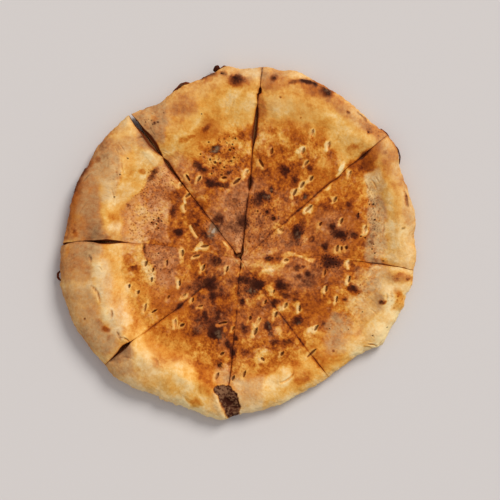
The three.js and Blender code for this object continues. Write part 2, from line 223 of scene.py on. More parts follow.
def outOf(x, y, oval):
    # how far out of an oval a point lies, 1 on its outline
    middleX, middleY, halfLong, halfWide, turned = oval
    turn = turned * degree
    dx, dy = x - middleX, y - middleY
    along = (dx * math.cos(turn) + dy * math.sin(turn)) / halfLong
    across = (dy * math.cos(turn) - dx * math.sin(turn)) / halfWide
    return np.hypot(along, across)


def mound(x, y, oval):
    # a smooth oval hump, 1 in its middle
    return np.exp(-outOf(x, y, oval) ** 2)


def cutAngle(cut, radius):
    # the angle about the hub at which a half cut runs, so far from the hub
    reach = edgeReach(cut["angle"] * degree)
    sideways = cut["bow"] * np.sin(math.pi * np.minimum(radius / reach, 1))
    sideways = sideways + np.interp(radius, *zip(*cut["strays"]))
    wander = layered(radius, cut["angle"] + 0 * radius, 0 * radius, knife["wander"], seeds["wander"])
    sideways = sideways + wander * smooth(*knife["wanderFrom"], radius)
    return cut["angle"] * degree + sideways / np.maximum(radius, knife["leastRadius"])


def halfGap(cut, radius):
    return 0.5 * np.interp(radius, *zip(*cut["open"]))


def besideCut(angle, radius):
    # distance from the nearest cut's edge, that cut's gap, and how dark its line is, pressed crust and
    # painted shade
    nearest = np.full(np.shape(radius), farOff)
    gap, scarAndShade = np.zeros(np.shape(radius)), np.zeros(np.shape(radius))
    for cut in cuts:
        half = halfGap(cut, radius)
        away = np.maximum(np.abs(np.sin((angle - cutAngle(cut, radius)) / 2)) * 2 * radius - half, 0)
        gap = np.where(away < nearest, 2 * half, gap)
        scarAndShade = np.where(away < nearest, cut["scarAndShade"], scarAndShade)
        nearest = np.minimum(nearest, away)
    return nearest, gap, scarAndShade


def pressed(angle, radius):
    # how far the wheel pressed the crust down, from 0 to 1, most where the cut stands open
    away, gap, scarAndShade = besideCut(angle, radius)
    deepest = lerp(bread["pressClosed"], 1, smooth(*bread["pressOpens"], gap))
    return deepest * np.exp(-(away / bread["pressWidth"]) ** 2)


def floorAt(x, y):
    # height of the flat middle, which waves gently
    height = bread["middle"]
    for high, length, turn, phase in floorWaves:
        along = x * math.cos(turn * degree) + y * math.sin(turn * degree)
        height = height + high * np.sin(2 * math.pi * along / length + phase)
    return height


def crustHeight(angle, radius, lift=None):
    # height of the crust above the table. lift is the place on the shoulder, from 90 degrees at the crest.
    inside = edgeReach(angle) - radius
    rise, crest, foot = (rimSize(key, angle) for key in ("rise", "crest", "foot"))
    x, y = bread["hub"][0] + radius * np.cos(angle), bread["hub"][1] + radius * np.sin(angle)
    nose = bread["noseShare"] * rise
    if lift is None:
        out = np.clip(1 - inside / crest, 0, 1)
        roundness = (1 - out ** bread["shoulder"]) ** (1 / bread["shoulder"])
    else:
        roundness = np.sin(lift) ** (2 / bread["shoulder"])
    slope = lerp(rise, floorAt(x, y), smooth(0, 1, (inside - crest) / (foot - crest)))
    height = np.where(inside < crest, nose + (rise - nose) * roundness, slope)
    onTop = smooth(0, bread["edgeFade"], inside)
    for *oval, high in swells + (burst,):
        height = height + onTop * high * mound(x, y, oval)
    return height - onTop * bread["pressDepth"] * pressed(angle, radius)


# Slits of the docking wheel, cut through the crust: x, y, long, turn, how dark its painted shadow is, how
# pale the lip is.
slits = (
    (-36, 46, 5, 120, 0.9, 0.5), (-28, 45, 5, 56, 0.9, 0.8), (-41, 41, 4, 60, 0.4, 0.9),
    (-36, 33.5, 4.5, 40, 0.8, 0.8), (-38, 25, 4, 90, 0.1, 0.9), (-31, 8, 9, 120, 0.1, 0.9),
    (-1, 43.5, 6.5, 40, 0.9, 0.5), (-10, 46, 3.5, 10, 0.8, 0.4), (6, 49.5, 5, 60, 0.3, 0.8),
    (-24, -3, 5.5, 12, 0.6, 0.8), (-30, -10, 5, 18, 0.6, 0.8), (-40, -8, 4.5, 82, 0.7, 0.7),
    (-25, -18.5, 5, 65, 0.8, 0.8), (-8, -19.5, 5, 70, 0.7, 0.8), (-51, -15, 4.5, 82, 0.7, 0.4),
    (-66, -15.5, 4.5, 65, 0.8, 1), (-61, -20, 3.5, 70, 0.7, 0.4), (-62, -27, 3.5, 80, 0.8, 0.5),
    (-42, -29.5, 4, 86, 0.9, 1), (16.5, 56.5, 6, 120, 0.7, 0.6), (24, 65, 4.5, 75, 0.6, 0.45),
    (46.5, 65, 5, 65, 0.4, 0.6), (53, 78, 5.5, 70, 0.2, 0.6), (65, 69, 5, 80, 0.1, 0.55),
    (49, 56.5, 4.5, 50, 0.6, 0.8), (52.5, 45.5, 4, 55, 0.8, 0.8), (46, 41, 5, 55, 0.8, 0.9),
    (40.5, 35.5, 5.5, 60, 0.9, 0.9), (69.5, 30.5, 4.5, 60, 0.7, 0.8), (74, 15, 4.5, 66, 0.8, 0.8),
    (59, 13, 3, 60, 0.8, 0.5), (50.5, 24, 7, 45, 0.6, 1), (80, 48.5, 5, 70, 0.3, 0.8),
    (71, -4.5, 4.5, 76, 0.9, 0.7), (74, -4.5, 3, 80, 0.9, 0.6), (77.5, -4, 2.5, 80, 0.8, 0.5),
    (79.5, -16, 4, 80, 0.1, 1), (79.5, -26.5, 5, 75, 0.9, 1), (62, -22, 4.5, 76, 0.7, 0.6),
    (91, 9, 5.5, 70, 0.2, 0.7), (63, -33.5, 4.5, 76, 0.9, 1), (70.5, -41, 4.5, 76, 0.8, 1),
    (56, -61.5, 5, 55, 0.9, 1), (44, -47.5, 4.5, 82, 0.9, 1), (34, -45.5, 4.5, 60, 0.7, 0.7),
    (27, -52, 4.5, 65, 0.9, 0.8), (25.5, -35.5, 3, 65, 0.6, 0.5), (19.5, -43, 3.5, 65, 0.7, 0.6),
    (12.5, -64, 5.5, 66, 0.9, 0.8), (14.5, -56.5, 5.5, 50, 0.3, 0.8), (8.5, -54.5, 3, 70, 0.7, 0.4),
    (-11, -58, 6.5, 12, 0.9, 0.6), (-3.5, -62, 3.5, 60, 0.6, 0.6), (-32.5, -41.5, 3.5, 70, 0.7, 0.6),
    (-27, -46, 3.5, 20, 0.5, 0.7), (-40, -59.5, 3.5, 30, 0.9, 0.6), (-45, -58, 5.5, 85, 0.1, 0.8),
    (-60, -49.5, 4.5, 32, 0.9, 0.4), (-66.5, -47, 6, 76, 0.5, 0.7), (-78, -31.5, 3, 70, 0.8, 1),
    (-71.5, -36, 3, 60, 0.8, 0.7), (-39, -38.5, 4.5, 45, 0.2, 0.7), (-11.5, -80, 3.5, 35, 0.8, 0.5),
    (-15, -96, 5, 65, 0.6, 0.4), (-3.5, -97.5, 4, 60, 0.7, 0.2), (4.5, -94.5, 5, 68, 0.7, 0.4),
    (17.5, -84, 3, 135, 0.6, 0.8), (31.5, -80, 3.5, 55, 0.8, 0.7), (52.5, -79.5, 9, 44, 0.8, 0.5),
    (34.5, -13, 3.5, 18, 0.5, 0.8), (31, 8.5, 3, 150, 0.2, 0.8), (-50, -39.5, 3, 55, 0.4, 0.5),
)

# The burnt-out crater where a bubble burst at the edge, its raised lip, its darkest spot and its palest.
crater = {
    "outline": ((-17, -103.5), (-11, -102.5), (-5, -103), (0, -110), (1.5, -118), (1, -129), (-6, -130),
                (-8, -125), (-12, -115), (-14, -110), (-17.5, -106)),
    "lip": ((-16.5, -108.5), (-10.5, -126)), "darkest": (-7.5, -113.5, 5, 2.8, -70),
    "palest": (-11, -107, 7, 5, -40),
}

# Creases and cracks: from x, y to x, y, sideways bow, half width, depth, how dark the painted shade in the
# groove is.
creases = (
    (-104, -31, -98, -43, 1.6, 0.6, 1.5, 0.8), (-105.5, -9, -104, -14, 0.3, 0.6, 1.0, 0.8),
    (-99, -17, -96.5, -21, 0.4, 0.4, 0.6, 0.3), (-90, -48.5, -90, -54, 0.5, 0.7, 1.3, 0.8),
    (-86, -62.5, -83, -69.5, -0.6, 0.6, 1.4, 0.8), (-84, -68, -77, -71.5, 1.2, 0.5, 1.0, 0.5),
    (-83, -82, -73, -84.5, 1.0, 0.5, 0.5, 0.2), (-60, -83, -57, -88, 0.8, 0.9, 0.7, 0.1),
    (-73, 73, -65, 74.5, 1.4, 0.5, 1.2, 0.5), (-66, 74, -57, 66, -1.5, 0.7, 0.7, 0.2),
    (-85, 70.5, -80.5, 64, 0.3, 0.35, 0.5, 0.2), (-88, 68, -85, 62, 0.3, 0.35, 0.4, 0.2),
    (-63, 83.5, -59, 76, -0.6, 0.3, 0.4, 0.4), (-66, 88, -63, 83, 0.4, 0.3, 0.3, 0.3),
    (-92, 58, -94, 50, 0.5, 0.5, 0.5, 0.2), (-87, 53, -86, 44, 0.4, 0.5, 0.5, 0.2),
    (-83, 60, -81, 47, -0.5, 0.5, 0.5, 0.2), (-90, 38, -88, 28, 0.6, 0.5, 0.5, 0.2),
    (30, -99.5, 39, -95, -1.0, 0.7, 1.3, 0.3), (40, -92, 38, -96, 0.4, 0.5, 0.5, 0.2),
    (94, -73.5, 99.5, -74.5, 0.4, 0.6, 1.4, 1.0), (99.5, -74.5, 103.5, -70.5, -0.5, 0.5, 1.0, 0.6),
    (96, -65.5, 97, -68.5, 0.2, 0.4, 0.6, 0.5), (85, -49, 82.5, -53.5, 0.3, 0.4, 0.5, 0.2),
    (88, -51, 86, -55, 0.3, 0.4, 0.4, 0.2), (106, -37, 105, -43, 0.8, 0.7, 0.7, 0.1),
    (109, -35, 108, -42, 0.8, 0.7, 0.6, 0.1), (95, -48, 99, -52, 0.4, 0.5, 0.4, 0.1),
    (95, 45, 99.5, 37.5, 0.6, 0.5, 0.6, 0.3), (91, 43, 94.5, 37, -0.4, 0.5, 0.5, 0.2),
    (98, 47, 101, 42, 0.3, 0.4, 0.5, 0.2), (95, 28, 97, 22, 0.4, 0.5, 0.6, 0.3),
    (101, 24, 100, 16, -0.6, 0.5, 0.5, 0.2), (92, 14, 90, 8, 0.4, 0.5, 0.6, 0.3),
    (104, 14, 103, 4, 0.7, 0.5, 0.5, 0.2), (86, 22, 85.5, 17, 0.3, 0.4, 0.6, 0.4),
    (-3, 103, -7, 92, 0.8, 0.8, 0.5, 0.0), (-9, 100, -11, 90, 0.5, 0.7, 0.4, 0.0),
    (54, 80, 53, 74, 0.6, 0.6, 0.5, 0.1), (66, 72, 64, 66, 0.5, 0.6, 0.5, 0.1),
    (48, 67, 46, 62, 0.4, 0.6, 0.5, 0.1), (72, 76, 69, 72, 0.4, 0.6, 0.4, 0.1),
    (-84, -19, -83, -28, 0.4, 0.6, 0.4, 0.0), (-113, 20, -108, 28, 0.5, 0.5, 0.4, 0.2),
    (-110, 43, -105, 49, 0.3, 0.4, 0.4, 0.4), (-78, 4, -72, 10, 0.6, 0.5, 0.4, 0.1),
)

# Small bumps in the crust: x, y, half length, half width, turn, height.
bumps = (
    (-94, -52, 4.5, 2.6, 85, 1.0), (-103, -37, 6, 2.6, 115, 0.7), (-88, 9, 3, 2.6, 0, 0.6),
    (-92, 55, 8, 3.5, 80, 0.7), (-86, 38, 8, 3, 80, 0.6), (-68, 66, 9, 4, -30, 0.8),
    (-99, -16, 5, 3, 80, 0.6), (-79, -68, 5, 3, -30, 0.7), (-66, -88, 6, 4, 60, 0.8),
    (-38, -100, 5, 9, 0, 0.7), (-52, -97, 5, 7, 20, 0.5), (98, 34, 3.5, 8, 10, 0.7),
    (102, 14, 3, 8, 0, 0.6), (94, 20, 3, 6, 0, 0.5), (114, -39, 4, 7, 10, 0.9), (116, -25, 7, 3.5, 0, 0.9),
    (92, -64, 5, 6, 40, 0.6), (84, -68, 4, 6, 0, 0.5), (70, -58, 6, 4, 0, 0.5), (72, -72, 6, 6, 0, 0.4),
    (107, -54, 5, 5, 0, 0.6), (34, -95, 8, 2.2, 26, 0.8), (15, -108, 8, 5, 20, 0.5),
    (-5, 95, 2.5, 10, -12, 0.6), (-12, 95, 2.5, 9, -8, 0.5), (-55, 94, 8, 5, 20, 0.5),
    (-35, 98, 6, 5, 0, 0.5), (28, 98, 5, 8, 0, 0.5), (40, 98, 4, 7, 0, 0.5), (60, 90, 7, 5, 0, 0.5),
    (78, 76, 6, 4, 20, 0.5), (-116, -30, 5, 10, 5, 0.5), (-112, 30, 6, 10, 0, 0.5),
    (-62, 30, 8, 10, 0, 0.4), (-58, -20, 8, 10, 0, 0.4),
)

# Grey ash on the blackest blisters: x, y, half length, half width, turn, how much.
ashes = (
    (-19, 8, 3.4, 4.8, -15, 1.0), (-14, 9, 1, 1.8, 0, 0.4), (-16.5, 66.3, 3.4, 2, 20, 0.75),
    (-58, 15.5, 2.2, 1.6, 0, 0.35), (-13, -66, 3.4, 2.6, 0, 0.45), (63.5, 108.3, 3, 2.2, -25, 0.6),
    (10, -34.5, 4.5, 2.2, 10, 0.5), (43, 4, 2, 3.4, 0, 0.4), (21, 32, 3, 2, 0, 0.45),
    (24, 37, 1.2, 1.6, 0, 0.5), (48, 32, 1.4, 1.6, 0, 0.35), (22, -59, 1.2, 3, 15, 0.35),
    (-28, -62, 3, 3, 0, 0.25), (-2, -42, 1.4, 1.4, 0, 0.3), (43, -58, 3, 1.6, 0, 0.3),
    (88, 61, 1.6, 2.6, -30, 0.2),
)

# Crust torn up beside a cut or a slit: x, y, half length, half width, turn, how pale, height.
flaps = (
    (21.5, -20.3, 4.5, 1.2, 8, 0.6, 0.4), (47, -10, 6, 1.2, 4, 0.8, 0.4), (74, 53, 4, 1.6, 48, 1.0, 0.5),
    (-29, -6, 4, 1.3, 28, 0.8, 0.3), (79, -13, 5, 1.3, -6, 0.5, 0.3), (1, -14, 2, 6, 40, 0.7, 0.3),
    (-62, 60, 9, 2.5, -50, 0.5, 0.3), (87, -13, 2, 1.3, 0, 0.8, 0.2), (-9, -1.5, 4.6, 0.9, -45, 0.9, 0.3),
    (0, -13, 1.4, 3, 0, 0.8, 0.3), (-26, -34.5, 2.6, 1.4, 35, 0.7, 0.4),
)

# Scorched spots and blisters, and one painted shadow beside the hole where the tips meet: x, y, half length,
# half width, turn, how dark, height.
scorches = (
    (-0.5, 116.5, 4.4, 3.6, 0, 0.85, 0.5), (-23, 81.5, 2.4, 2, 0, 0.45, 0.3),
    (-30, 55.5, 3, 2.6, 0, 0.6, 0.3), (-25, 51.5, 3.4, 2.2, 10, 0.85, 0.4),
    (-13.5, 56, 2, 1.6, 0, 0.7, 0.2), (-19, 42.5, 6, 2.8, -8, 0.8, 0.4), (-10, 40.5, 4, 2, -10, 0.7, 0.3),
    (-42.5, 7.5, 3, 2, -20, 0.85, 0.3), (-41, 14, 2.6, 2, 60, 0.5, 0.2), (19, 33, 6, 3.8, -12, 0.9, 0.7),
    (14, 29, 3, 3.6, 40, 0.65, 0.3), (24, 38, 2, 3, 30, 0.9, 0.4), (21, 21.5, 2, 1.8, 0, 0.9, 0.4),
    (25.5, 17, 2.4, 2, 0, 0.9, 0.3), (22.5, -12, 2.9, 2.3, 30, 0.8, 0.4), (9, 42, 2, 4.6, 0, 0.85, 0),
    (-2, 30, 3.6, 2.9, 0, 0.45, 0.2), (-13, 17, 4, 3, 0, 0.7, 0.2), (4, 14, 4, 3.4, 0, 0.7, 0.2),
    (-15.5, -13, 4.6, 3.6, -30, 0.75, 0.2), (-20, -30, 4, 4.6, 0, 1, 0.5),
    (-18.5, -38, 2.4, 3.6, 0, 0.75, 0.2), (-27, -33.5, 3.6, 1, 34, 0.5, 0.1),
    (5, -26, 4.4, 3.4, 20, 0.85, 0.3), (14, -30.5, 4, 2.8, 10, 1, 0.7), (10, -35, 5, 3, 20, 0.7, 0.5),
    (3, -42.5, 2.2, 2.2, 0, 0.9, 0.2), (32, -31.2, 4.8, 4, 0, 1, 0.7),
    (33.5, -37.5, 3.6, 1.8, -20, 0.7, 0.2), (34, 52.5, 2.4, 4, 10, 0.6, 0.3),
    (41.5, 45, 2.5, 2.3, 0, 0.85, 0.4), (48, 32.5, 2.6, 2.4, 0, 0.9, 0.5), (51, 53, 2, 1.8, 0, 0.75, 0.3),
    (42.5, 7.5, 3.8, 7.2, -8, 1, 0.9), (46.5, 14.5, 2.6, 4, -20, 0.7, 0.4),
    (67.5, 11.5, 2.5, 3.8, 30, 0.85, 0.4), (73.5, 5.5, 5.6, 3.4, -8, 1, 0.6),
    (62.5, -3.5, 2.2, 2.4, 0, 0.9, 0.3), (53, 2, 3.6, 2, 60, 0.55, 0.2), (83.5, 5, 2.3, 3.2, 40, 0.75, 0.2),
    (62, -13, 3.6, 3.8, 30, 0.7, 0.3), (69, -13.5, 5, 3, -10, 0.7, 0.5),
    (41.5, -18.5, 3.6, 2.2, 20, 0.6, 0.3), (47, -17.5, 1.4, 1.1, 0, 0.8, 0.1),
    (50, -22.5, 2, 2, 0, 0.8, 0.2), (44, -24.5, 1.8, 1.5, 0, 0.65, 0.1), (82, -33, 3.2, 2.7, -30, 0.9, 0.5),
    (77, -41, 1.8, 1.4, 0, 0.7, 0.2), (61, -58, 1.8, 1.8, 0, 0.55, 0.2), (43, -56.5, 4.4, 3.2, 5, 0.9, 0.6),
    (41, -41, 2, 1.8, 0, 0.7, 0.1), (26, -43, 2.9, 2.3, 0, 0.75, 0.2), (21.5, -60, 2.1, 4.3, 15, 0.9, 0.4),
    (5, -62, 1.8, 2.6, 20, 0.65, 0.1), (-15, -64.5, 4.8, 4, -20, 1, 0.9),
    (-23.5, -52, 1.8, 2.6, 30, 0.85, 0.2), (-14, -53, 1.8, 2.6, 0, 0.85, 0.2),
    (-31, -64, 2.6, 2.6, 0, 0.6, 0.2), (-6.5, -74, 2.2, 4, 15, 0.85, 0.3), (-3.5, -79, 2.4, 3.2, 0, 1, 0.3),
    (-1.5, -69, 2, 1.8, 0, 0.8, 0.2), (-13, -87.5, 2.5, 3, 20, 0.85, 0.4), (36, -71, 2.9, 2, 0, 0.6, 0.1),
    (26, -72, 2.9, 2, 0, 0.65, 0.1), (-42, -45.5, 2.4, 1.8, 40, 0.75, 0.2),
    (-51, -39.5, 1.8, 1.4, 0, 0.5, 0.1), (-74, -18, 1.7, 1.5, 0, 0.15, 0.3),
    (-100, 59, 1.6, 1.4, 0, 0.2, 0.2), (-117, 8, 1.8, 1.8, 0, 0.3, 0.2), (26, 117, 3, 2, 20, 0.75, 0.4),
    (40, 114.5, 2.9, 1.5, 10, 0.4, 0.3), (51, 114, 3.6, 1.2, -12, 0.85, 0.6),
    (63.5, 107.5, 4.8, 3, -36, 1, 0.9), (91, 56, 2.9, 3, 0, 0.1, 0.2), (102.5, -43, 2.2, 1.8, 0, 0.9, 0.3),
    (96, 0, 1.9, 1.7, 0, 0.65, 0.4), (86, 18.5, 1.3, 2.3, 0, 0.75, 0.2), (79, 27, 2.1, 1.8, 0, 0.5, 0.2),
    (78.5, 93, 1.6, 1.1, -40, 0.7, 0.2), (93, 78.5, 1.1, 1, 0, 0.75, 0.1),
    (68, -77.5, 1.1, 1.1, 0, 0.8, 0.1), (-110, -55, 0.9, 0.8, 0, 0.85, 0.1),
    (-57, 85.5, 1.1, 0.9, -40, 0.8, 0.1), (-53, 92, 1, 0.8, -40, 0.7, 0.1),
    (-59.5, 85, 0.8, 0.8, 0, 0.7, 0.1), (30.5, 103.5, 1.2, 0.8, -20, 0.75, 0.1),
    (45, 89, 0.9, 0.7, 20, 0.65, 0.1), (118, 10, 2, 1, 10, 0.5, 0.2), (120, 32.5, 1.2, 2, 10, 0.55, 0.2),
    (121, -26.5, 1.2, 1.1, 0, 0.4, 0.3), (-59.5, 51, 2.8, 2.2, 10, 0.75, 0.4),
    (-62, 46, 2.5, 2, 30, 0.6, 0.3), (-78.5, 26.5, 1.3, 1.3, 0, 0.55, 0.2),
    (-57, 15.5, 1.6, 1.3, 0, 0.75, 0.2), (-60.5, 14, 1.6, 1.4, 0, 0.65, 0.2),
    (-57.5, 10, 1, 1.2, 0, 0.7, 0.1), (-67, -4, 1.3, 5, 10, 0.6, 0.1), (-4.5, 67, 1.4, 1.1, 0, 0.6, 0.1),
    (-10, 74, 1.1, 1.1, 0, 0.6, 0.1), (-3, 75, 1.1, 1, 0, 0.55, 0.1), (-7, 50, 2, 1.6, 20, 0.7, 0.3),
    (-17, 66.5, 5, 3.2, 15, 0.75, -0.9), (-47, 21, 2, 4, 0, 0.45, 0.1), (-96, -1, 1.2, 1.2, 0, 0.3, 0),
    (103, 13, 0.8, 0.8, 0, 0.35, 0), (-23, 5.5, 1.7, 3, 0, 0.75, 0.2), (-14.8, 11, 1.5, 2.2, 0, 0.7, 0.2),
    # (-1, -11) is painted shadow along the hole where the slices' tips meet, not a scorch
    (-18.5, 5, 1.2, 1, 0, 0.8, 0), (-18, -67, 3.2, 3, 0, 0.85, 0.4), (-1, -11, 3, 1.2, -48, 0.75, 0),
    (89.5, 62.5, 1.5, 3.4, -35, 0.6, 0.1),
)

# One slice's mesh before it is shaped: rows from tip to edge, columns across, layers up.
wedge = {
    "innerRows": 60, "shoulderRows": 12, "columns": 7, "layers": 4,
    "doubleAtRow": (9, 18, 36),  # from these rows out, each column is parted in two
    "fine": 3,                   # cuts in each face of the crust and the cut faces
    "tiny": 1e-5,
}
rows = wedge["innerRows"] + wedge["shoulderRows"]


def selectEdges(test):
    # selects the edges of the mesh in edit mode whose two ends pass the test
    bpy.ops.mesh.select_mode(type="EDGE")
    bpy.ops.mesh.select_all(action="DESELECT")
    mesh = bmesh.from_edit_mesh(bpy.context.edit_object.data)
    for edge in mesh.edges:
        edge.select = bool(test(edge.verts[0].co, edge.verts[1].co))
    bmesh.update_edit_mesh(bpy.context.edit_object.data)


def runsAlong(axis, a, b):
    return all(abs(a[i] - b[i]) < wedge["tiny"] for i in range(3) if i != axis)


def wedgeBlock():
    # a unit block: X runs from tip to edge, Y across the slice, Z from underside to crust
    bpy.ops.mesh.primitive_cube_add(size=1, location=(0.5, 0.5, 0.5))
    block = bpy.context.object
    bpy.ops.object.transform_apply(location=True)
    bpy.ops.object.mode_set(mode="EDIT")
    for axis, cutCount in ((0, rows - 1), (2, wedge["layers"] - 1), (1, wedge["columns"] - 1)):
        selectEdges(lambda a, b: runsAlong(axis, a, b))
        bpy.ops.mesh.subdivide(number_cuts=cutCount)
    for row in wedge["doubleAtRow"]:
        selectEdges(lambda a, b: runsAlong(1, a, b) and a.x > (row - 0.5) / rows)
        bpy.ops.mesh.subdivide(number_cuts=1)
    bpy.ops.mesh.select_mode(type="FACE")
    bpy.ops.mesh.select_all(action="DESELECT")
    bpy.ops.mesh.select_face_by_sides(number=4, type="GREATER")
    bpy.ops.mesh.quads_convert_to_tris(ngon_method="BEAUTY")
    mesh = bmesh.from_edit_mesh(block.data)
    for face in mesh.faces:
        face.select_set(max(corner.co.z for corner in face.verts) > wedge["tiny"])
    bmesh.update_edit_mesh(block.data)
    bpy.ops.mesh.subdivide(number_cuts=wedge["fine"])
    bpy.ops.object.mode_set(mode="OBJECT")
    return block


def narrowed(cut, radius, h):
    # a cut's width at a share h of the height, as a share of its width at the crust
    foot = bread["cutFoot"]
    if "through" in cut:
        foot = lerp(foot, bread["openFoot"], smooth(*cut["through"], radius))
    closes = lerp(*bread["cutCloses"], smooth(*bread["cutWide"], 2 * halfGap(cut, radius)))
    return lerp(foot, 1, smooth(closes, bread["cutOpens"], h) / smooth(closes, bread["cutOpens"], 1))


def columnPlaces(first, second, u, h, radius):
    # the angle about the hub at a share u across the slice between two half cuts, which narrow downwards
    wrap = 2 * math.pi if second["angle"] < first["angle"] else 0
    low = cutAngle(first, radius) + narrowed(first, radius, h) * halfGap(first, radius) / radius
    high = cutAngle(second, radius) + wrap - narrowed(second, radius, h) * halfGap(second, radius) / radius
    return lerp(low, high, u)


def sectionPlace(angle, s, h, tip):
    # radius, height and lift of a point of the block in the bread's section at an angle
    reach, rise, crest = edgeReach(angle), rimSize("rise", angle), rimSize("crest", angle)
    nose = bread["noseShare"] * rise
    flatShare = wedge["innerRows"] / rows
    lift = (1 - np.clip((s - flatShare) / (1 - flatShare), 0, 1)) * math.pi / 2
    flat = tip + (reach - crest - tip) * np.clip(s / flatShare, 0, 1)
    top = flat + crest * np.cos(lift) ** (2 / bread["shoulder"])
    under = bread["footTip"] + (reach - bread["tuckIn"] - bread["footTip"]) * (top - tip) / (reach - tip)
    drop = (1 - h) * math.pi / 2
    atSide = smooth(bread["tuckFrom"], 1, s)
    radius = lerp(under, top, h) + atSide * bread["tuckIn"] * (np.cos(drop) - h)
    sideUp = atSide * nose * (1 - np.sin(drop) - h)
    return radius, top, lift, sideUp


def shapeSlice(mesh, first, second, tip):
    # moves the block's points to their places in the bread, in millimetres
    count = len(mesh.vertices)
    block = np.empty(count * 3)
    mesh.vertices.foreach_get("co", block)
    s, u, h = np.clip(block.reshape(-1, 3), 0, 1).T
    wrap = 360 if second["angle"] < first["angle"] else 0
    middle = lerp(first["angle"], second["angle"] + wrap, u) * degree
    radius = sectionPlace(middle, s, h, tip)[0]
    angle = columnPlaces(first, second, u, h, radius)
    radius, top, lift, sideUp = sectionPlace(angle, s, h, tip)
    flatShare = wedge["innerRows"] / rows
    shoulderLift = np.where(s > flatShare, lift, np.pi / 2)
    height = crustHeight(angle, top, shoulderLift)
    x = bread["hub"][0] + radius * np.cos(angle)
    y = bread["hub"][1] + radius * np.sin(angle)
    z = height * h + sideUp
    return s, u, h, angle, top, x, y, z


def setPlaces(mesh, x, y, z):
    mesh.vertices.foreach_set("co", (np.stack([x, y, z], 1) * mm).ravel())
    mesh.update()


# The crust's colour, from raw dough at 0 to charcoal at 1, and how uneven it is: size in mm, height.
crust = {
    "rimBake": 0.36, "middleBake": 0.62,
    "middleFrom": (-12, 6),      # where the rim's colour turns to the middle's, from the rim's foot
    "middleStrays": 4, "middleStraySize": 13,
    "middleMottle": ((14.0, 0.06), (6.5, 0.08), (3.4, 0.065), (1.6, 0.055), (0.8, 0.055)),
    "rimMottle": ((16.0, 0.06), (7.0, 0.055), (3.0, 0.04), (1.4, 0.03), (0.8, 0.025)),
    "crisp": 0.45,               # how far the mottles' outlines blur
    "calmest": 0.3, "calmFades": (0.7, 1.2),       # the least that the calm places leave of them
    "rough": ((4, 1), (1.6, 0.6), (0.8, 0.4)),     # this makes every mark's outline ragged
    "warp": 3.0, "warpSize": 9.0,                  # how far the patches' outlines stray
    "areaBlur": 0.9,             # how soft the areas' outlines are, as a share of their own softness
    "areaRagged": 0.5,
    "spotFades": (0.5, 1.3), "spotRagged": 0.3, "spotWipes": 0.6,
    "beigeFades": (0.8, 1.3),
    "lumps": ((18.0, 0.5), (8.0, 0.3), (4.0, 0.16), (1.8, 0.09), (0.9, 0.06)),
    # flour: how much on the rim, where that fades, and the dust that lies all over
    "rimFlour": 0.35, "rimFlourFade": (6, 24), "flourRagged": 4,
    "rimDust": 0.08, "middleDust": ((5.0, 0.35), (2.0, 0.35), (1.0, 0.3)), "dustFrom": (0.1, 0.6),
    "middleDusty": 0.5,
    "flourGrain": ((2.2, 0.5), (0.9, 0.4)), "rimGrain": 0.55, "flourShare": 0.8, "mostFlour": 1.3,
}
# Painted light: the rim's edge is painted paler on one side, which lies at this angle.
paintedLightEdge = {"around": -75, "turned": (0.2, 0.9), "change": 0.24, "wide": 9}

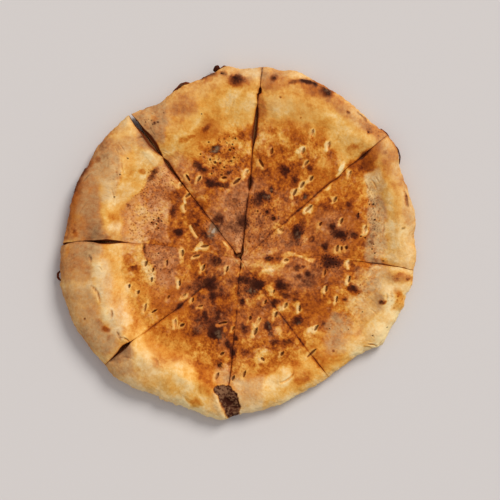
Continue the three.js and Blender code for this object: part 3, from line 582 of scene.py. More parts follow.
# The crust's colour in areas, for each slice: how browned, how floury, how soft the outline, the outline.
areas = {
    "wnw": (
        # The areas on the rim's outer slope, which is turned away from the light, are its tan crust painted
        # darker with painted shade.
        (0.62, 0.65, 4, ((-127, 2), (-124, 22), (-120, 40), (-110, 57), (-100, 71), (-91, 78), (-85, 73),
            (-92, 60), (-99, 48), (-100, 34), (-98, 18), (-91, 2))),
        (0.62, 0.3, 3, ((-127, 3), (-123, 24), (-118, 40), (-113, 40), (-115, 22), (-117, 3))),
        (0.7, 0.85, 4, ((-112, 8), (-113, 28), (-107, 38), (-102, 30), (-101, 14), (-98, 6))),
        (0.6, 1.0, 4, ((-103, 56), (-93, 64), (-84, 64), (-81, 52), (-85, 42), (-96, 41), (-102, 47))),
        (0.34, 0.8, 4, ((-99, 43), (-87, 43), (-87, 30), (-92, 22), (-98, 28))),
        (0.24, 0.0, 3, ((-83, 60), (-76, 66), (-62, 66), (-56, 60), (-60, 54), (-66, 46), (-71, 38),
            (-79, 31), (-84, 26), (-84, 14), (-85, 4), (-91, 5), (-96, 12), (-98, 22), (-93, 30), (-87, 38),
            (-84, 48))),
        (0.28, 0.0, 3, ((-81, 58), (-75, 60), (-70, 52), (-74, 44), (-79, 36), (-83, 34), (-83, 42),
            (-81, 50))),
        (0.26, 0.2, 3, ((-74, 66), (-62, 66), (-57, 60), (-62, 57), (-70, 58), (-74, 62))),
        (0.12, 0.5, 2, ((-92, 11), (-87, 14), (-85, 8), (-89, 6))),
        (0.3, 0.0, 2, ((-93, 20), (-88, 23), (-84, 20), (-84, 15), (-89, 14))),
        (0.3, 0.3, 3, ((-92, 76), (-84, 84), (-76, 86), (-71, 80), (-76, 73), (-88, 71))),
        (0.45, 0.65, 3, ((-97, 62), (-90, 73), (-76, 74), (-66, 68), (-76, 66), (-83, 62), (-90, 64))),
        # painted shade on the slope beside the open cut
        (0.62, 0.8, 3, ((-77, 82), (-71, 80), (-58, 64), (-64, 66), (-73, 72))),
        (0.68, 0.2, 2, ((-121, 28), (-117, 42), (-109, 56), (-104, 61), (-102, 57), (-106, 52), (-112, 40),
            (-117, 27))),
        (0.56, 0.6, 1.5, ((-84, 1), (-84, 20), (-80, 28), (-72, 36), (-66, 46), (-60, 53), (-50, 56),
            (-38, 40), (-50, 38), (-50, 18), (-49, 1))),
        (0.47, 0.5, 4, ((-84, 1), (-84, 20), (-77, 30), (-66, 29), (-61, 22), (-67, 9), (-68, 1))),
        (0.6, 0.6, 5, ((-66, 46), (-60, 52), (-52, 53), (-49, 40), (-52, 33), (-64, 34))),
        (0.66, 0.55, 4, ((-66, 14), (-60, 18), (-51, 14), (-50, 2), (-66, 2))),
        (0.68, 0.0, 1.2, ((-50, 38), (-36, 38), (-14, 8), (-22, -2), (-50, 1))),
    ),
    "nnw": (
        (0.62, 0.85, 4, ((-78, 90), (-67, 100), (-56, 103), (-48, 100), (-48, 88), (-52, 80), (-55, 70),
            (-62, 74))),
        (0.64, 0.85, 4, ((-64, 82), (-60, 90), (-54, 88), (-53, 80), (-58, 76))),
        (0.48, 0.4, 3, ((-50, 100), (-42, 110), (-29, 112), (-29, 92), (-40, 86), (-49, 88))),
        (0.44, 0.4, 2, ((-52, 98), (-46, 108), (-34, 115), (-26, 118), (-27, 112), (-38, 107), (-47, 97))),
        (0.6, 0.3, 2, ((-26, 112), (-24, 120), (-12, 124), (-12, 118))),
        (0.34, 0.5, 2, ((-13, 118), (-13, 127), (-2, 129), (-2, 120))),
        (0.25, 0.0, 3, ((-55, 63), (-50, 72), (-38, 82), (-26, 92), (-21, 89), (-30, 80), (-36, 70),
            (-44, 61))),
        (0.25, 0.0, 4, ((-20, 104), (-8, 111), (2, 110), (4, 90), (-1, 76), (-8, 80), (-10, 92))),
        (0.52, 0.0, 4, ((-30, 82), (-24, 92), (-12, 90), (-9, 76), (-20, 70), (-32, 74))),
        (0.48, 0.05, 4, ((-30, 62), (-20, 71), (-4, 75), (0, 66), (-2, 50), (-18, 48), (-24, 56))),
        (0.52, 0.4, 4, ((-52, 61), (-44, 65), (-36, 60), (-25, 51), (-24, 38), (-34, 32), (-38, 38))),
        (0.24, 0.0, 3, ((1, 84), (2, 100), (8, 110), (12, 120), (17, 122), (13, 104), (10, 84))),
        (0.36, 0.0, 3, ((-1, 60), (-1, 71), (12, 71), (11, 61))),
        (0.66, 0.75, 6, ((-22, 22), (-14, 38), (10, 40), (6, 10), (3, -8), (-12, 8))),
        (0.6, 0.1, 4, ((-26, 56), (-22, 45), (-6, 45), (-4, 54), (-14, 59))),
    ),
    "nne": (
        (0.6, 0.3, 4, ((17, 124), (36, 123), (39, 116), (32, 109), (22, 109), (16, 114))),
        (0.58, 0.1, 3, ((13, 110), (20, 106), (22, 94), (17, 86), (12, 88), (12, 100))),
        (0.55, 0.2, 3, ((36, 120), (56, 117), (72, 106), (66, 100), (48, 106), (38, 112))),
        (0.33, 0.1, 4, ((20, 88), (20, 104), (34, 109), (56, 103), (70, 99), (67, 88), (48, 87), (34, 89))),
        (0.25, 0.15, 3, ((25, 92), (28, 104), (38, 104), (42, 94), (34, 90))),
        (0.2, 0.0, 3, ((54, 88), (56, 100), (70, 100), (72, 88))),
        (0.54, 0.0, 4, ((26, 86), (48, 86), (62, 83), (65, 72), (56, 65), (34, 66), (25, 74))),
        (0.5, 0.15, 5, ((34, 68), (58, 68), (72, 62), (68, 54), (54, 50), (38, 56))),
        (0.38, 0.15, 4, ((14, 86), (22, 86), (26, 72), (22, 64), (12, 64))),
        (0.22, 0.0, 4, ((64, 84), (70, 89), (84, 83), (97, 74), (95, 69), (84, 61), (78, 53), (72, 52),
            (72, 64), (66, 74))),
        (0.18, 0.0, 3, ((72, 72), (74, 79), (84, 76), (85, 71), (78, 69))),
        (0.55, 0.35, 3, ((64, 107), (80, 100), (92, 89), (102, 81), (109, 77), (100, 71), (94, 78),
            (84, 84), (72, 92), (62, 99))),
        (0.68, 0.3, 3, ((88, 86), (98, 84), (108, 77), (100, 73), (94, 77))),
        (0.62, 0.35, 6, ((8, 36), (18, 26), (32, 12), (6, -8), (4, 10))),
    ),
    "ene": (
        (0.62, 0.0, 3, ((76, 50), (100, 76), (108, 78), (107, 68), (100, 59), (94, 51), (86, 49))),
        (0.52, 0.15, 3, ((101, 60), (104, 74), (112, 78), (118, 66), (119, 54), (112, 50), (103, 52))),
        (0.45, 0.4, 3, ((108, 56), (118, 56), (124, 40), (128, 20), (126, 10), (120, 14), (114, 36))),
        (0.3, 0.0, 3, ((102, 52), (107, 48), (112, 34), (116, 16), (115, -2), (109, -14), (104, -8),
            (106, 18), (104, 38))),
        (0.27, 0.15, 4, ((108, 16), (122, 14), (128, 0), (128, -20), (108, -14), (106, 0))),
        (0.43, 0.0, 2, ((109, 46), (113, 45), (116, 28), (116, 8), (111, 8), (110, 28))),
        (0.3, 0.75, 2, ((92, 50), (101, 52), (105, 42), (103, 32), (93, 34), (91, 42))),
        (0.62, 1.0, 2, ((92, 34), (103, 34), (106, 20), (104, 0), (103, -18), (93, -16), (94, 0),
            (93, 20))),
        (0.52, 0.0, 4, ((60, 38), (76, 49), (90, 49), (92, 34), (80, 31), (64, 33))),
        (0.6, 0.0, 4, ((84, 30), (93, 32), (94, 6), (86, 10))),
        (0.6, 0.35, 6, ((4, -10), (26, 10), (38, 4), (36, -8), (12, -16))),
    ),
    "wsw": (
        (0.58, 0.6, 4, ((-130, 2), (-103, 1), (-103, -28), (-130, -30))),
        (0.5, 0.75, 4, ((-130, -30), (-103, -28), (-97, -62), (-112, -70), (-126, -50))),
        (0.62, 0.95, 4, ((-112, 1), (-96, 1), (-95, -10), (-104, -14), (-112, -10))),
        (0.56, 1.0, 4, ((-116, -60), (-97, -60), (-86, -68), (-94, -82), (-106, -78))),
        (0.26, 0.75, 4, ((-99, -12), (-91, -12), (-88, -40), (-82, -62), (-88, -68), (-99, -54))),
        (0.15, 0.6, 3, ((-106, -16), (-98, -15), (-96, -24), (-103, -27))),
        (0.31, 0.0, 4, ((-92, -2), (-82, -2), (-79, -20), (-75, -34), (-71, -50), (-72, -63), (-80, -60),
            (-87, -40), (-90, -16))),
        (0.06, 0.3, 2, ((-97, -48), (-92, -49), (-91, -57), (-96, -56))),
        (0.5, 0.0, 3, ((-83, -1), (-68, -1), (-66, -10), (-62, -20), (-60, -34), (-64, -46), (-73, -46),
            (-78, -32), (-81, -18))),
        (0.22, 0.1, 3, ((-70, -14), (-64, -13), (-61, -22), (-63, -30), (-69, -26))),
        (0.36, 0.0, 5, ((-78, -46), (-62, -45), (-56, -56), (-72, -67), (-76, -62))),
        (0.12, 0.35, 2, ((-83, -58), (-79, -62), (-74, -57), (-75, -51), (-80, -50))),
        (0.68, 0.65, 2, ((-68, 1), (-43, 1), (-42, -12), (-44, -33), (-54, -35), (-60, -29), (-60, -18),
            (-66, -8))),
        (0.6, 0.05, 5, ((-64, -34), (-46, -34), (-42, -46), (-56, -54), (-64, -46))),
        (0.72, 0.3, 6, ((-40, -10), (-24, -4), (-2, -12), (-4, -20), (-30, -42), (-44, -44), (-38, -26))),
        (0.6, 0.45, 4, ((-16, -6), (2, -14), (-2, -20), (-16, -16))),
    ),
    "ssw": (
        (0.5, 0.9, 3, ((-96, -86), (-78, -71), (-75, -78), (-76, -92), (-84, -98), (-96, -94))),
        (0.74, 0.8, 2, ((-94, -85), (-80, -73), (-77, -76), (-80, -82), (-90, -86))),
        (0.24, 0.6, 4, ((-96, -92), (-84, -96), (-74, -94), (-58, -102), (-60, -112), (-82, -106))),
        (0.19, 0.1, 4, ((-74, -96), (-58, -90), (-46, -87), (-38, -82), (-30, -92), (-26, -106),
            (-16, -112), (-14, -126), (-34, -122), (-48, -116), (-62, -108))),
        (0.13, 0.05, 4, ((-76, -73), (-67, -69), (-60, -80), (-58, -91), (-68, -94), (-76, -88))),
        (0.42, 0.0, 4, ((-64, -72), (-48, -65), (-34, -70), (-28, -84), (-36, -88), (-46, -84),
            (-58, -86))),
        (0.5, 0.0, 3, ((-60, -80), (-52, -80), (-52, -90), (-58, -88))),
        (0.1, 0.0, 3, ((-44, -94), (-36, -93), (-33, -104), (-38, -108), (-42, -104))),
        (0.6, 0.0, 4, ((-34, -85), (-20, -83), (-15, -91), (-20, -101), (-30, -98))),
        (0.48, 0.0, 3, ((-30, -101), (-20, -100), (-19, -107), (-28, -108))),
        (0.5, 0.0, 2, ((-38, -113), (-30, -112), (-26, -117), (-34, -119))),
        (0.45, 0.65, 3, ((-18, -90), (-4, -88), (-4, -104), (-12, -102), (-18, -98))),
        (0.74, 0.35, 6, ((-2, -18), (-4, -58), (-8, -72), (-26, -68), (-34, -56), (-34, -44), (-14, -28))),
        (0.57, 0.0, 5, ((-62, -58), (-44, -50), (-36, -64), (-52, -70), (-66, -68))),
    ),
    "sse": (
        (0.68, 0.2, 6, ((-4, -16), (8, -24), (24, -48), (20, -64), (-2, -70))),
        (0.6, 0.1, 4, ((-4, -74), (10, -74), (12, -88), (-4, -88))),
        (0.46, 0.8, 4, ((-5, -97), (16, -95), (27, -102), (20, -108), (6, -109), (-4, -112))),
        (0.26, 0.8, 3, ((-2, -109), (20, -108), (16, -124), (-2, -126))),
        (0.32, 0.0, 4, ((20, -103), (30, -104), (46, -97), (56, -102), (36, -116), (18, -122))),
        (0.11, 0.05, 3, ((19, -97), (26, -91), (41, -89), (38, -98), (26, -105), (19, -104))),
        (0.36, 0.0, 3, ((39, -96), (52, -91), (60, -95), (48, -107), (37, -103))),
        (0.42, 0.1, 4, ((-4, -86), (14, -86), (14, -96), (-4, -96))),
        (0.26, 0.1, 3, ((13, -76), (18, -73), (20, -84), (16, -90), (13, -86))),
        (0.54, 0.0, 5, ((20, -72), (46, -72), (50, -80), (46, -89), (20, -88))),
        (0.28, 0.0, 3, ((45, -80), (51, -80), (58, -92), (48, -91))),
    ),
    "ese": (
        (0.5, 0.0, 5, ((70, -36), (80, -38), (80, -52), (72, -56), (67, -46))),
        (0.15, 0.0, 4, ((99, -26), (124, -18), (128, -30), (124, -48), (114, -60), (104, -74), (94, -82),
            (82, -86), (79, -74), (86, -62), (94, -50), (99, -38))),
        (0.34, 0.5, 3, ((78, -39), (101, -37), (97, -50), (90, -62), (84, -71), (76, -66))),
        (0.32, 0.35, 3, ((100, -14), (127, -20), (124, -28), (104, -28))),
        (0.42, 1.0, 3, ((84, -15), (102, -18), (103, -34), (90, -37), (84, -32))),
        (0.5, 0.85, 3, ((96, -37), (103, -37), (104, -50), (97, -50))),
        (0.48, 0.0, 3, ((56, -78), (64, -75), (77, -79), (84, -82), (70, -94), (60, -92))),
        (0.4, 0.1, 4, ((49, -64), (66, -63), (66, -77), (52, -76))),
        (0.5, 0.95, 4, ((65, -54), (77, -54), (79, -64), (76, -79), (66, -80), (60, -76))),
        (0.66, 1.0, 4, ((67, -54), (75, -54), (76, -61), (69, -63))),
        (0.4, 0.1, 2, ((110, -23), (116, -21), (124, -23), (124, -28), (114, -29))),
        (0.38, 0.0, 2, ((111, -35), (117, -34), (119, -41), (116, -48), (110, -49), (112, -43))),
        (0.4, 0.25, 5, ((4, -14), (20, -14), (34, -22), (22, -26))),
        (0.6, 0.25, 6, ((24, -8), (58, -10), (60, -22), (52, -34), (36, -30))),
        (0.1, 0.0, 3, ((106, -16), (128, -20), (128, -24), (108, -21))),
    ),
}

# Smaller spots of another brown: x, y, half length, half width, turn, how browned.
spots = (
    (-42, 43, 5, 3, 20, 0.34), (-37, 47.5, 3, 2, 40, 0.3), (-31, 44.5, 2.5, 2.5, 0, 0.4),
    (-33, 34, 3, 1.6, -20, 0.5), (20, 70, 3, 5, 20, 0.32), (46, 65.5, 3, 4, -30, 0.14),
    (64, 69.5, 2.5, 4, 0, 0.14), (53, 79, 2, 4, 0, 0.24), (75, 53.5, 6, 2, 46, 0.1),
    (65, 40.5, 5, 2, 42, 0.16), (44, 40, 11, 1.8, 42, 0.4), (48.5, 22.5, 4, 2.6, 40, 0.16),
    (68, 31, 3, 3, 40, 0.24), (28, 10, 3, 4, -40, 0.34), (90.5, 9, 2, 4, 10, 0.22),
    (79, 48, 2, 4, 10, 0.26), (90, 38, 3, 5, 0, 0.42), (55, 14, 3, 3, 0, 0.46), (40, 36, 2.5, 2.5, 0, 0.3),
    (5.5, 50, 2, 4, -30, 0.3), (-30, -6, 6, 2.2, 28, 0.22), (-27, -3, 3, 2, 20, 0.2),
    (-42, -9, 2, 4, 0, 0.36), (-27, -19, 2, 4, 20, 0.34), (-43.5, -28, 2, 5, 0, 0.34),
    (-38, -38.5, 3.5, 1.8, 45, 0.36), (-67.5, -45, 2, 4, 0, 0.3), (-45.5, -57, 2, 4, 0, 0.26),
    (-62, -58, 7, 1.6, 40, 0.34), (-72, -69, 4, 3, 20, 0.2), (-8, -63, 3, 4, 0, 0.42),
    (-70, 24, 4, 3, 0, 0.34), (25, -19, 9, 3, 10, 0.26), (39, -11, 9, 1.8, 6, 0.34),
    (50, -10.5, 5, 1.8, -4, 0.22), (79, -16, 2.6, 3, 0, 0.22), (77.5, -26, 2, 4, 0, 0.3),
    (23.5, -34, 2.2, 5, 0, 0.32), (16, -40, 4, 1.8, 30, 0.44), (28, -48, 7, 2, 42, 0.38),
    (42, -47, 2, 4, 0, 0.32), (53.5, -61.5, 3.2, 4.4, 0, 0.1), (60.5, -34, 1.8, 4, 0, 0.34),
    (67, -42, 2, 4, 0, 0.4), (8, -43.5, 4, 1.8, 30, 0.42), (10, -60, 2.4, 7, -20, 0.42),
    (28, -64, 3, 3, 0, 0.42), (-78, 81, 4, 3, 0, 0.42), (-70, 52, 1.8, 2, 0, 0.62),
    (-94, -61, 2.8, 2.3, 0, 0.66), (-74, -18, 2.6, 2.4, 90, 0.74), (46.5, -99, 5, 3, 20, 0.46),
    (-22, 82, 4, 3.4, 20, 0.7), (0, 115, 8, 5, 0, 0.58), (-60, 89.5, 3.5, 2, 0, 0.6),
    (117, -25.5, 6, 3, 0, 0.47), (115, -42, 4, 7.5, 10, 0.46), (119.5, 31, 1.8, 4, 10, 0.66),
    (-117, 8, 2.6, 3, 0, 0.74), (-100, 59.5, 2.6, 2.2, 0, 0.68), (-121, -8, 2, 5, 0, 0.58),
    (104, -43, 2.2, 1.6, 0, 0.7), (92, 55, 4, 4.4, 30, 0.72), (105, 63, 3, 2, 0, 0.7),
    (12, 75, 1.6, 4, 0, 0.7), (-60, 48, 4, 3, 0, 0.7), (-53, 35, 4, 4, 0, 0.68), (-44, 7, 5, 4, 0, 0.8),
    (-47, 21, 3, 5, 0, 0.76), (-37, 27, 1.4, 2.4, 0, 0.12), (34, -72, 8, 3, 0, 0.72),
    (22, -73, 6, 2.6, 0, 0.72), (6, -76, 5, 5, 0, 0.68), (60, -51, 7, 5, 0, 0.7), (71, -33, 5, 4, 0, 0.56),
    (64, 26, 8, 5, 0, 0.7), (78, 27, 6, 4, 0, 0.76), (30, 56, 5, 5, 0, 0.68), (85, 66, 5, 5, 0, 0.5),
    (58, 76, 4, 5, 0, 0.58), (40, 76, 6, 5, 0, 0.58), (-60, 22, 6, 3, 0, 0.48), (-30, 64, 4, 4, 0, 0.36),
    (-38, 74, 4, 2.6, 20, 0.52), (-33, 76.5, 3, 2, 0, 0.58),
)

# Parts that are browner or paler, and more or less floury, than the areas say: an oval, how much of each.
tones = (
    (-55, 45, 15, 9, 30, -0.07, 0), (-46, 32, 10, 8, 0, -0.05, 0), (-68, 33, 8, 12, 0, -0.06, 0),
    (-35, 23, 7, 6, 0, 0.05, 0), (-35, 0, 9, 6, 0, 0.05, 0.1), (-6, 7, 15, 10, 0, 0.04, 0.25),
    (45, -27, 14, 9, 0, 0.07, 0.35), (80, -15, 11, 9, 0, 0.05, 0), (65, 15, 12, 9, 0, 0.05, 0.3),
    (36, 0, 8, 7, 0, 0.04, 0.35), (25, -36, 9, 9, 0, -0.05, 0), (-22, -52, 10, 10, 0, 0.05, 0),
    (-28, -40, 8, 7, 0, 0.05, 0), (7, -85, 6, 5, 0, 0.1, 0), (-45, 83, 8, 8, 0, 0.05, -0.1),
    (70, 68, 6, 14, 20, 0.06, 0), (30, 105, 9, 6, 0, 0.06, 0), (45, 90, 9, 6, 0, 0.05, 0),
    (-9, 55, 8, 7, 0, 0.06, 0), (70, 100, 7, 7, 0, -0.08, 0), (53, 115, 7, 5, 0, -0.06, 0),
    (55, 65, 7, 6, 0, -0.07, 0), (27, 76, 6, 8, 0, -0.06, 0), (20, 50, 14, 7, -20, -0.06, 0),
    (8, 26, 6, 8, 0, -0.05, 0), (47, 14, 6, 8, 0, -0.05, 0), (62, 46, 7, 10, 0, -0.07, 0),
    (-90, 51, 8, 6, 0, -0.08, 0), (-78, 0, 9, 6, 0, -0.05, 0),
    (-70, -22, 9, 6, 0, -0.05, 0), (-52, -32, 7, 8, 0, -0.04, 0), (104, 2, 8, 15, 0, -0.08, 0.1),
    (112, -12, 7, 5, 0, -0.08, 0), (93, -28, 10, 9, 0, -0.08, 0.2), (76, -54, 9, 8, 0, -0.11, -0.3),
    (52, -55, 9, 7, 0, -0.05, 0), (5, -58, 9, 8, 0, -0.06, 0), (47, -75, 5, 6, 0, -0.05, 0),
    (-26, -75, 8, 8, 0, -0.05, 0), (60, -86, 10, 5, 20, 0.06, 0), (-40, -95, 6, 6, 0, 0.04, 0),
    (-95, -14, 9, 7, 0, 0.05, 0), (-78, -12, 9, 5, 0, 0.06, 0), (-100, -75, 6, 8, 0, -0.05, 0),
    (-32, -18, 9, 9, 0, -0.12, -0.2), (-70, -36, 7, 8, 0, -0.08, 0), (10, 40, 12, 8, 0, 0, 0.3),
    (122, 18, 6, 16, 0, -0.08, 0.25), (-62, -48, 8, 8, 0, -0.03, 0), (-52, -62, 10, 6, 0, 0.06, 0),
    (70, 25, 8, 8, 0, 0.04, 0), (100, 60, 5, 6, 0, 0.06, 0), (-64, 13, 9, 12, 0, -0.12, 0),
    (-57, -28, 7, 9, 0, -0.05, 0.15), (-60, -90, 8, 6, 0, -0.06, 0.2), (90, -70, 8, 6, 0, 0.1, -0.1),
    (12, -103, 12, 6, 0, 0.04, 0), (-100, 50, 6, 8, 0, -0.06, 0.1), (-118, -40, 7, 14, 0, -0.08, 0),
    (118, 40, 6, 10, 0, -0.04, 0.2), (-40, -105, 10, 6, 0, -0.03, -0.2), (-20, 97, 12, 8, 0, -0.02, -0.2),
    (50, 97, 10, 7, 0, -0.04, 0), (-116, 20, 4, 14, 0, -0.04, -0.2), (20, 16, 12, 9, 0, -0.05, 0.1),
    (-62, 32, 9, 6, 0, -0.05, 0), (-38, 22, 8, 6, 0, 0.05, 0), (-18, -54, 10, 9, 0, 0.06, 0),
    (40, -22, 12, 9, 0, 0.03, 0.2), (-72, -70, 10, 5, 30, -0.04, 0), (-55, 54, 12, 8, 20, -0.07, 0.1),
    (-45, 37, 10, 6, 0, -0.05, 0), (-5, 73, 7, 5, 0, -0.05, 0), (30, 75, 6, 6, 0, -0.05, 0),
    (57, 65, 6, 6, 0, -0.07, -0.2), (35, 46, 8, 5, 0, -0.05, -0.3), (15, 25, 9, 7, 0, -0.05, 0),
    (-78, 0, 8, 5, 0, -0.06, 0.2), (-75, -24, 9, 5, 0, -0.06, 0), (-58, -65, 7, 6, 0, -0.07, -0.2),
    (-27, -77, 6, 6, 0, -0.05, -0.4), (-22, -103, 6, 5, 0, -0.06, -0.3), (5, -56, 8, 5, 0, -0.06, 0),
    (20, -38, 8, 8, 0, -0.08, 0), (46, -70, 6, 6, 0, -0.05, -0.3), (105, 20, 6, 12, 0, -0.07, 0),
    (110, -10, 8, 6, 0, -0.05, 0), (117, 56, 6, 8, 30, -0.06, 0.2), (88, 86, 10, 5, -40, -0.04, 0.25),
    (-5, 9, 10, 7, 0, 0.06, 0.2), (-38, -3, 8, 8, 0, 0.05, 0), (8, 40, 10, 5, 0, 0.05, 0.15),
    (-12, 51, 9, 6, 0, 0.05, 0), (32, 27, 7, 6, 0, 0.04, 0.2), (35, 0, 7, 6, 0, 0.07, 0.1),
    (66, 14, 10, 7, 0, 0.07, 0.2), (92, 15, 7, 6, 0, 0.05, 0), (75, 38, 6, 9, 0, 0.05, 0),
    (88, -17, 10, 5, 0, 0.09, -0.2), (46, -27, 9, 9, 0, 0.09, 0.1), (76, -26, 6, 6, 0, 0.04, 0),
    (-15, -35, 8, 9, 0, 0.05, 0), (-36, -30, 6, 8, 0, 0.05, 0),
    (-70, -52, 8, 8, 0, 0.09, 0), (-71, -71, 8, 5, 0, 0.07, 0), (-46, -76, 8, 5, 0, 0.06, -0.3),
    (-37, -95, 6, 6, 0, 0.07, -0.3), (-15, -88, 6, 6, 0, 0.06, -0.2), (7, -83, 6, 7, 0, 0.1, 0),
    (16, -66, 6, 7, 0, 0.09, 0), (22, -101, 7, 5, 0, 0.05, -0.3), (56, -89, 6, 5, 0, 0.06, -0.3),
    (60, -70, 7, 6, 0, 0.08, -0.2), (90, -69, 10, 5, 20, 0.07, 0), (107, -46, 6, 8, 0, 0.05, 0),
    (110, 38, 4, 9, 0, 0.05, 0), (104, 54, 6, 7, 0, 0.05, 0), (72, 73, 5, 8, 0, 0.06, -0.2),
    (64, 84, 8, 6, 0, 0.03, -0.2), (30, 108, 9, 5, 0, 0.06, 0), (14, 72, 5, 6, 0, 0.05, 0),
    (-45, 76, 7, 6, 0, 0.07, -0.3), (-34, 60, 5, 8, 0, 0.07, 0), (-30, 70, 10, 5, 0, 0.02, -0.4),
    (-75, 43, 6, 9, 20, 0.06, -0.6), (-86, 15, 6, 8, 0, 0.05, 0), (-92, -55, 5, 7, 0, 0.05, 0),
    (-2, 95, 10, 9, 0, 0.02, -0.5), (12, 120, 12, 5, 0, 0, 0.5), (40, 120, 14, 3.5, -10, -0.04, 0.45),
    (-83, 86, 8, 5, 0, 0, 0.4), (105, 68, 5, 8, 0, 0, 0.4), (113, 50, 4, 9, 0, 0, 0.3),
    (124, 0, 4, 16, 0, 0, 0.35), (0, -12, 10, 9, 0, 0, 0.4), (-85, -54, 5, 16, -10, -0.02, 0.4),
    (-103, -32, 8, 8, 0, 0, 0.3), (-66, -90, 10, 6, -30, 0, 0.3), (48, 0, 10, 6, 0, 0, 0.3),
    (70, -20, 8, 6, 0, 0, 0.25), (88, -28, 6, 9, 0, 0, -0.5), (-30, -104, 9, 9, 0, 0, -0.6),
    (33, -108, 9, 5, 25, 0, -0.7), (76, -85, 10, 5, 25, 0, -0.6), (30, -85, 14, 7, 20, 0, -0.4),
    (-50, -68, 12, 5, -10, 0, -0.4), (-110, 14, 5, 9, 0, -0.04, -0.5), (72, -54, 12, 5, 0, 0, -0.3),
    (-15, -114, 6, 6, 0, 0, 0.25), (3, -100, 8, 5, 0, 0, 0.2), (-95, -38, 6, 10, 0, -0.02, 0),
    (-88, 50, 6, 6, 0, -0.05, 0), (-113, 15, 5, 9, 0, -0.14, 0), (-20, 70, 8, 5, 0, -0.17, 0),
    (-5, 8, 9, 7, 0, 0.1, 0), (35, 0, 7, 6, 0, 0.06, -0.15), (7, -84, 6, 6, 0, 0.1, 0),
    (88, -16, 9, 5, 0, 0.1, 0), (46, -27, 9, 9, 0, 0.08, -0.1), (-19, -58, 8, 8, 0, 0.16, -0.2),
    (-70, -71, 8, 6, 0, 0.08, 0), (115, -33, 7, 5, 0, -0.05, 0.5), (-83, -55, 5, 10, 0, 0, 0.3),
    (-16, -117, 3, 6, 30, 0, 0.4), (90, 30, 7, 6, 0, -0.07, 0), (-75, -5, 9, 6, 0, -0.02, 0.25),
    (-10, -42, 9, 8, 0, 0, -0.3), (-30, -76, 14, 9, 0, 0.02, -0.35), (32, -85, 16, 8, 15, 0, -0.3),
    (10, 121, 8, 4, 0, -0.04, 0.4), (-30, 74, 10, 7, 0, -0.02, -0.2), (45, 62, 14, 12, 0, 0, -0.25),
    (72, 82, 8, 6, 0, 0, -0.25), (88, 55, 7, 7, 0, 0, -0.2), (75, 30, 14, 6, 10, 0, -0.25),
    (-30, 24, 6, 8, 0, 0.03, -0.3), (70, 6, 18, 12, 0, 0, 0.15), (-15, 8, 8, 8, 0, 0, 0.15),
    (-50, -20, 12, 14, 0, 0, 0.12), (-62, 25, 14, 16, 0, -0.02, 0.15), (107, -30, 5, 8, 0, 0, 0.3),
    (60, -60, 8, 5, 0, 0, 0.2), (95, -65, 12, 5, 20, 0, 0.3), (25, -60, 10, 12, 0, 0, 0.12),
    (75, 55, 6, 12, 0, 0.04, 0), (15, 43, 10, 5, 0, 0.03, 0), (45, 10, 5, 8, 0, -0.06, 0),
    (-45, 32, 12, 6, 0, -0.05, 0), (-24, -34, 7, 9, 0, -0.04, 0), (-55, 56, 9, 6, 0, -0.06, 0),
    (57, 63, 6, 7, 0, -0.06, 0), (-88, 20, 8, 10, 0, 0.03, 0), (-72, -24, 9, 4, 0, -0.05, 0),
    (-60, -65, 6, 5, 0, -0.06, 0), (-57, -33, 6, 9, 0, -0.03, 0.1), (-12, -15, 6, 8, 0, 0.05, 0),
    (-24, -42, 8, 8, 0, 0.05, 0), (117, -25.5, 6, 2.6, 0, -0.04, 0.1), (115, -37, 3.2, 3.6, 0, 0.12, -0.5),
    (112.5, -46.5, 3.6, 3, 0, 0.1, -0.4), (108.5, -43, 1.5, 6, -10, -0.1, 0.4),
    (119, -43, 1.5, 6, -15, -0.1, 0.4), (113, 10, 4, 8, 0, -0.09, 0.2), (97, 21, 5, 8, 0, 0.06, -0.1),
    (-70, -77, 7, 4, 20, 0.07, 0), (-90, 18.5, 4, 4, 0, 0.16, -0.5), (-76, 46, 4.5, 10, 20, 0.07, -0.4),
    (-92, 27, 3, 5, 0, -0.03, 0), (-88, 10, 3.5, 3, 0, -0.04, 0.1), (-94.5, -61, 3, 2.4, 0, 0.14, -0.6),
    (-20, 68, 7, 4, 0, -0.06, 0), (-41, 43, 8, 5, 0, -0.04, 0), (-53, 46, 4, 5, 0, 0.05, 0),
    (-40, 27, 9, 4, 0, 0.05, 0), (-26, 26, 4, 7, 0, -0.05, -0.3), (-13, 12, 12, 5, 0, 0.05, 0),
    (47, 9, 5, 5, 0, -0.05, 0), (65, 29, 6, 5, 0, -0.05, -0.1), (68, 70, 5, 7, 0, 0.06, 0),
    (63, 17, 6, 6, 0, 0.06, 0), (71, -18, 5, 10, 0, 0.06, 0.1), (52, -18, 5, 6, 0, 0.04, 0),
    (12, 39, 10, 4, 0, 0.05, 0.15), (-78, -36, 5, 5, 0, 0.05, 0), (-70, -49, 5, 6, 0, 0.05, 0),
    (-27, -73, 6, 6, 0, -0.05, -0.3), (-4, -64, 6, 4, 0, -0.05, 0), (-36, -95, 5, 5, 0, 0.06, 0),
    (106, 54, 5, 9, 0, 0.05, 0), (112, 34, 4, 7, 0, 0.05, 0), (102, 28, 3.5, 8, 0, -0.05, 0),
    (113, -10, 6, 5, 0, -0.05, 0.2), (45, -76, 4, 8, 0, -0.05, 0), (20, -42, 5, 4, 0, -0.05, 0),
    (-86, 51, 7, 6, 0, -0.05, 0), (-78, -1, 6, 4, 0, -0.05, 0.1), (-28, -20, 6, 9, 0, 0, -0.25),
    (-29, -52, 6, 6, 0, 0, -0.3), (-12, -45, 6, 7, 0, 0, -0.3), (-26, -95, 6, 14, 0, 0, -0.35),
    (65, 48, 6, 5, 0, 0, -0.25), (35, 50, 6, 6, 0, 0, -0.25), (86, 55, 7, 6, 0, 0, -0.2),
    (88, -26, 4, 9, 0, 0, -0.35), (35, -85, 9, 5, 20, 0, -0.3), (35, -107, 8, 4, 25, 0, -0.4),
    (90, -58, 10, 4, 25, 0, -0.25), (82, -80, 7, 4, 20, 0, -0.4), (-86, -52, 5, 12, -10, 0, 0.3),
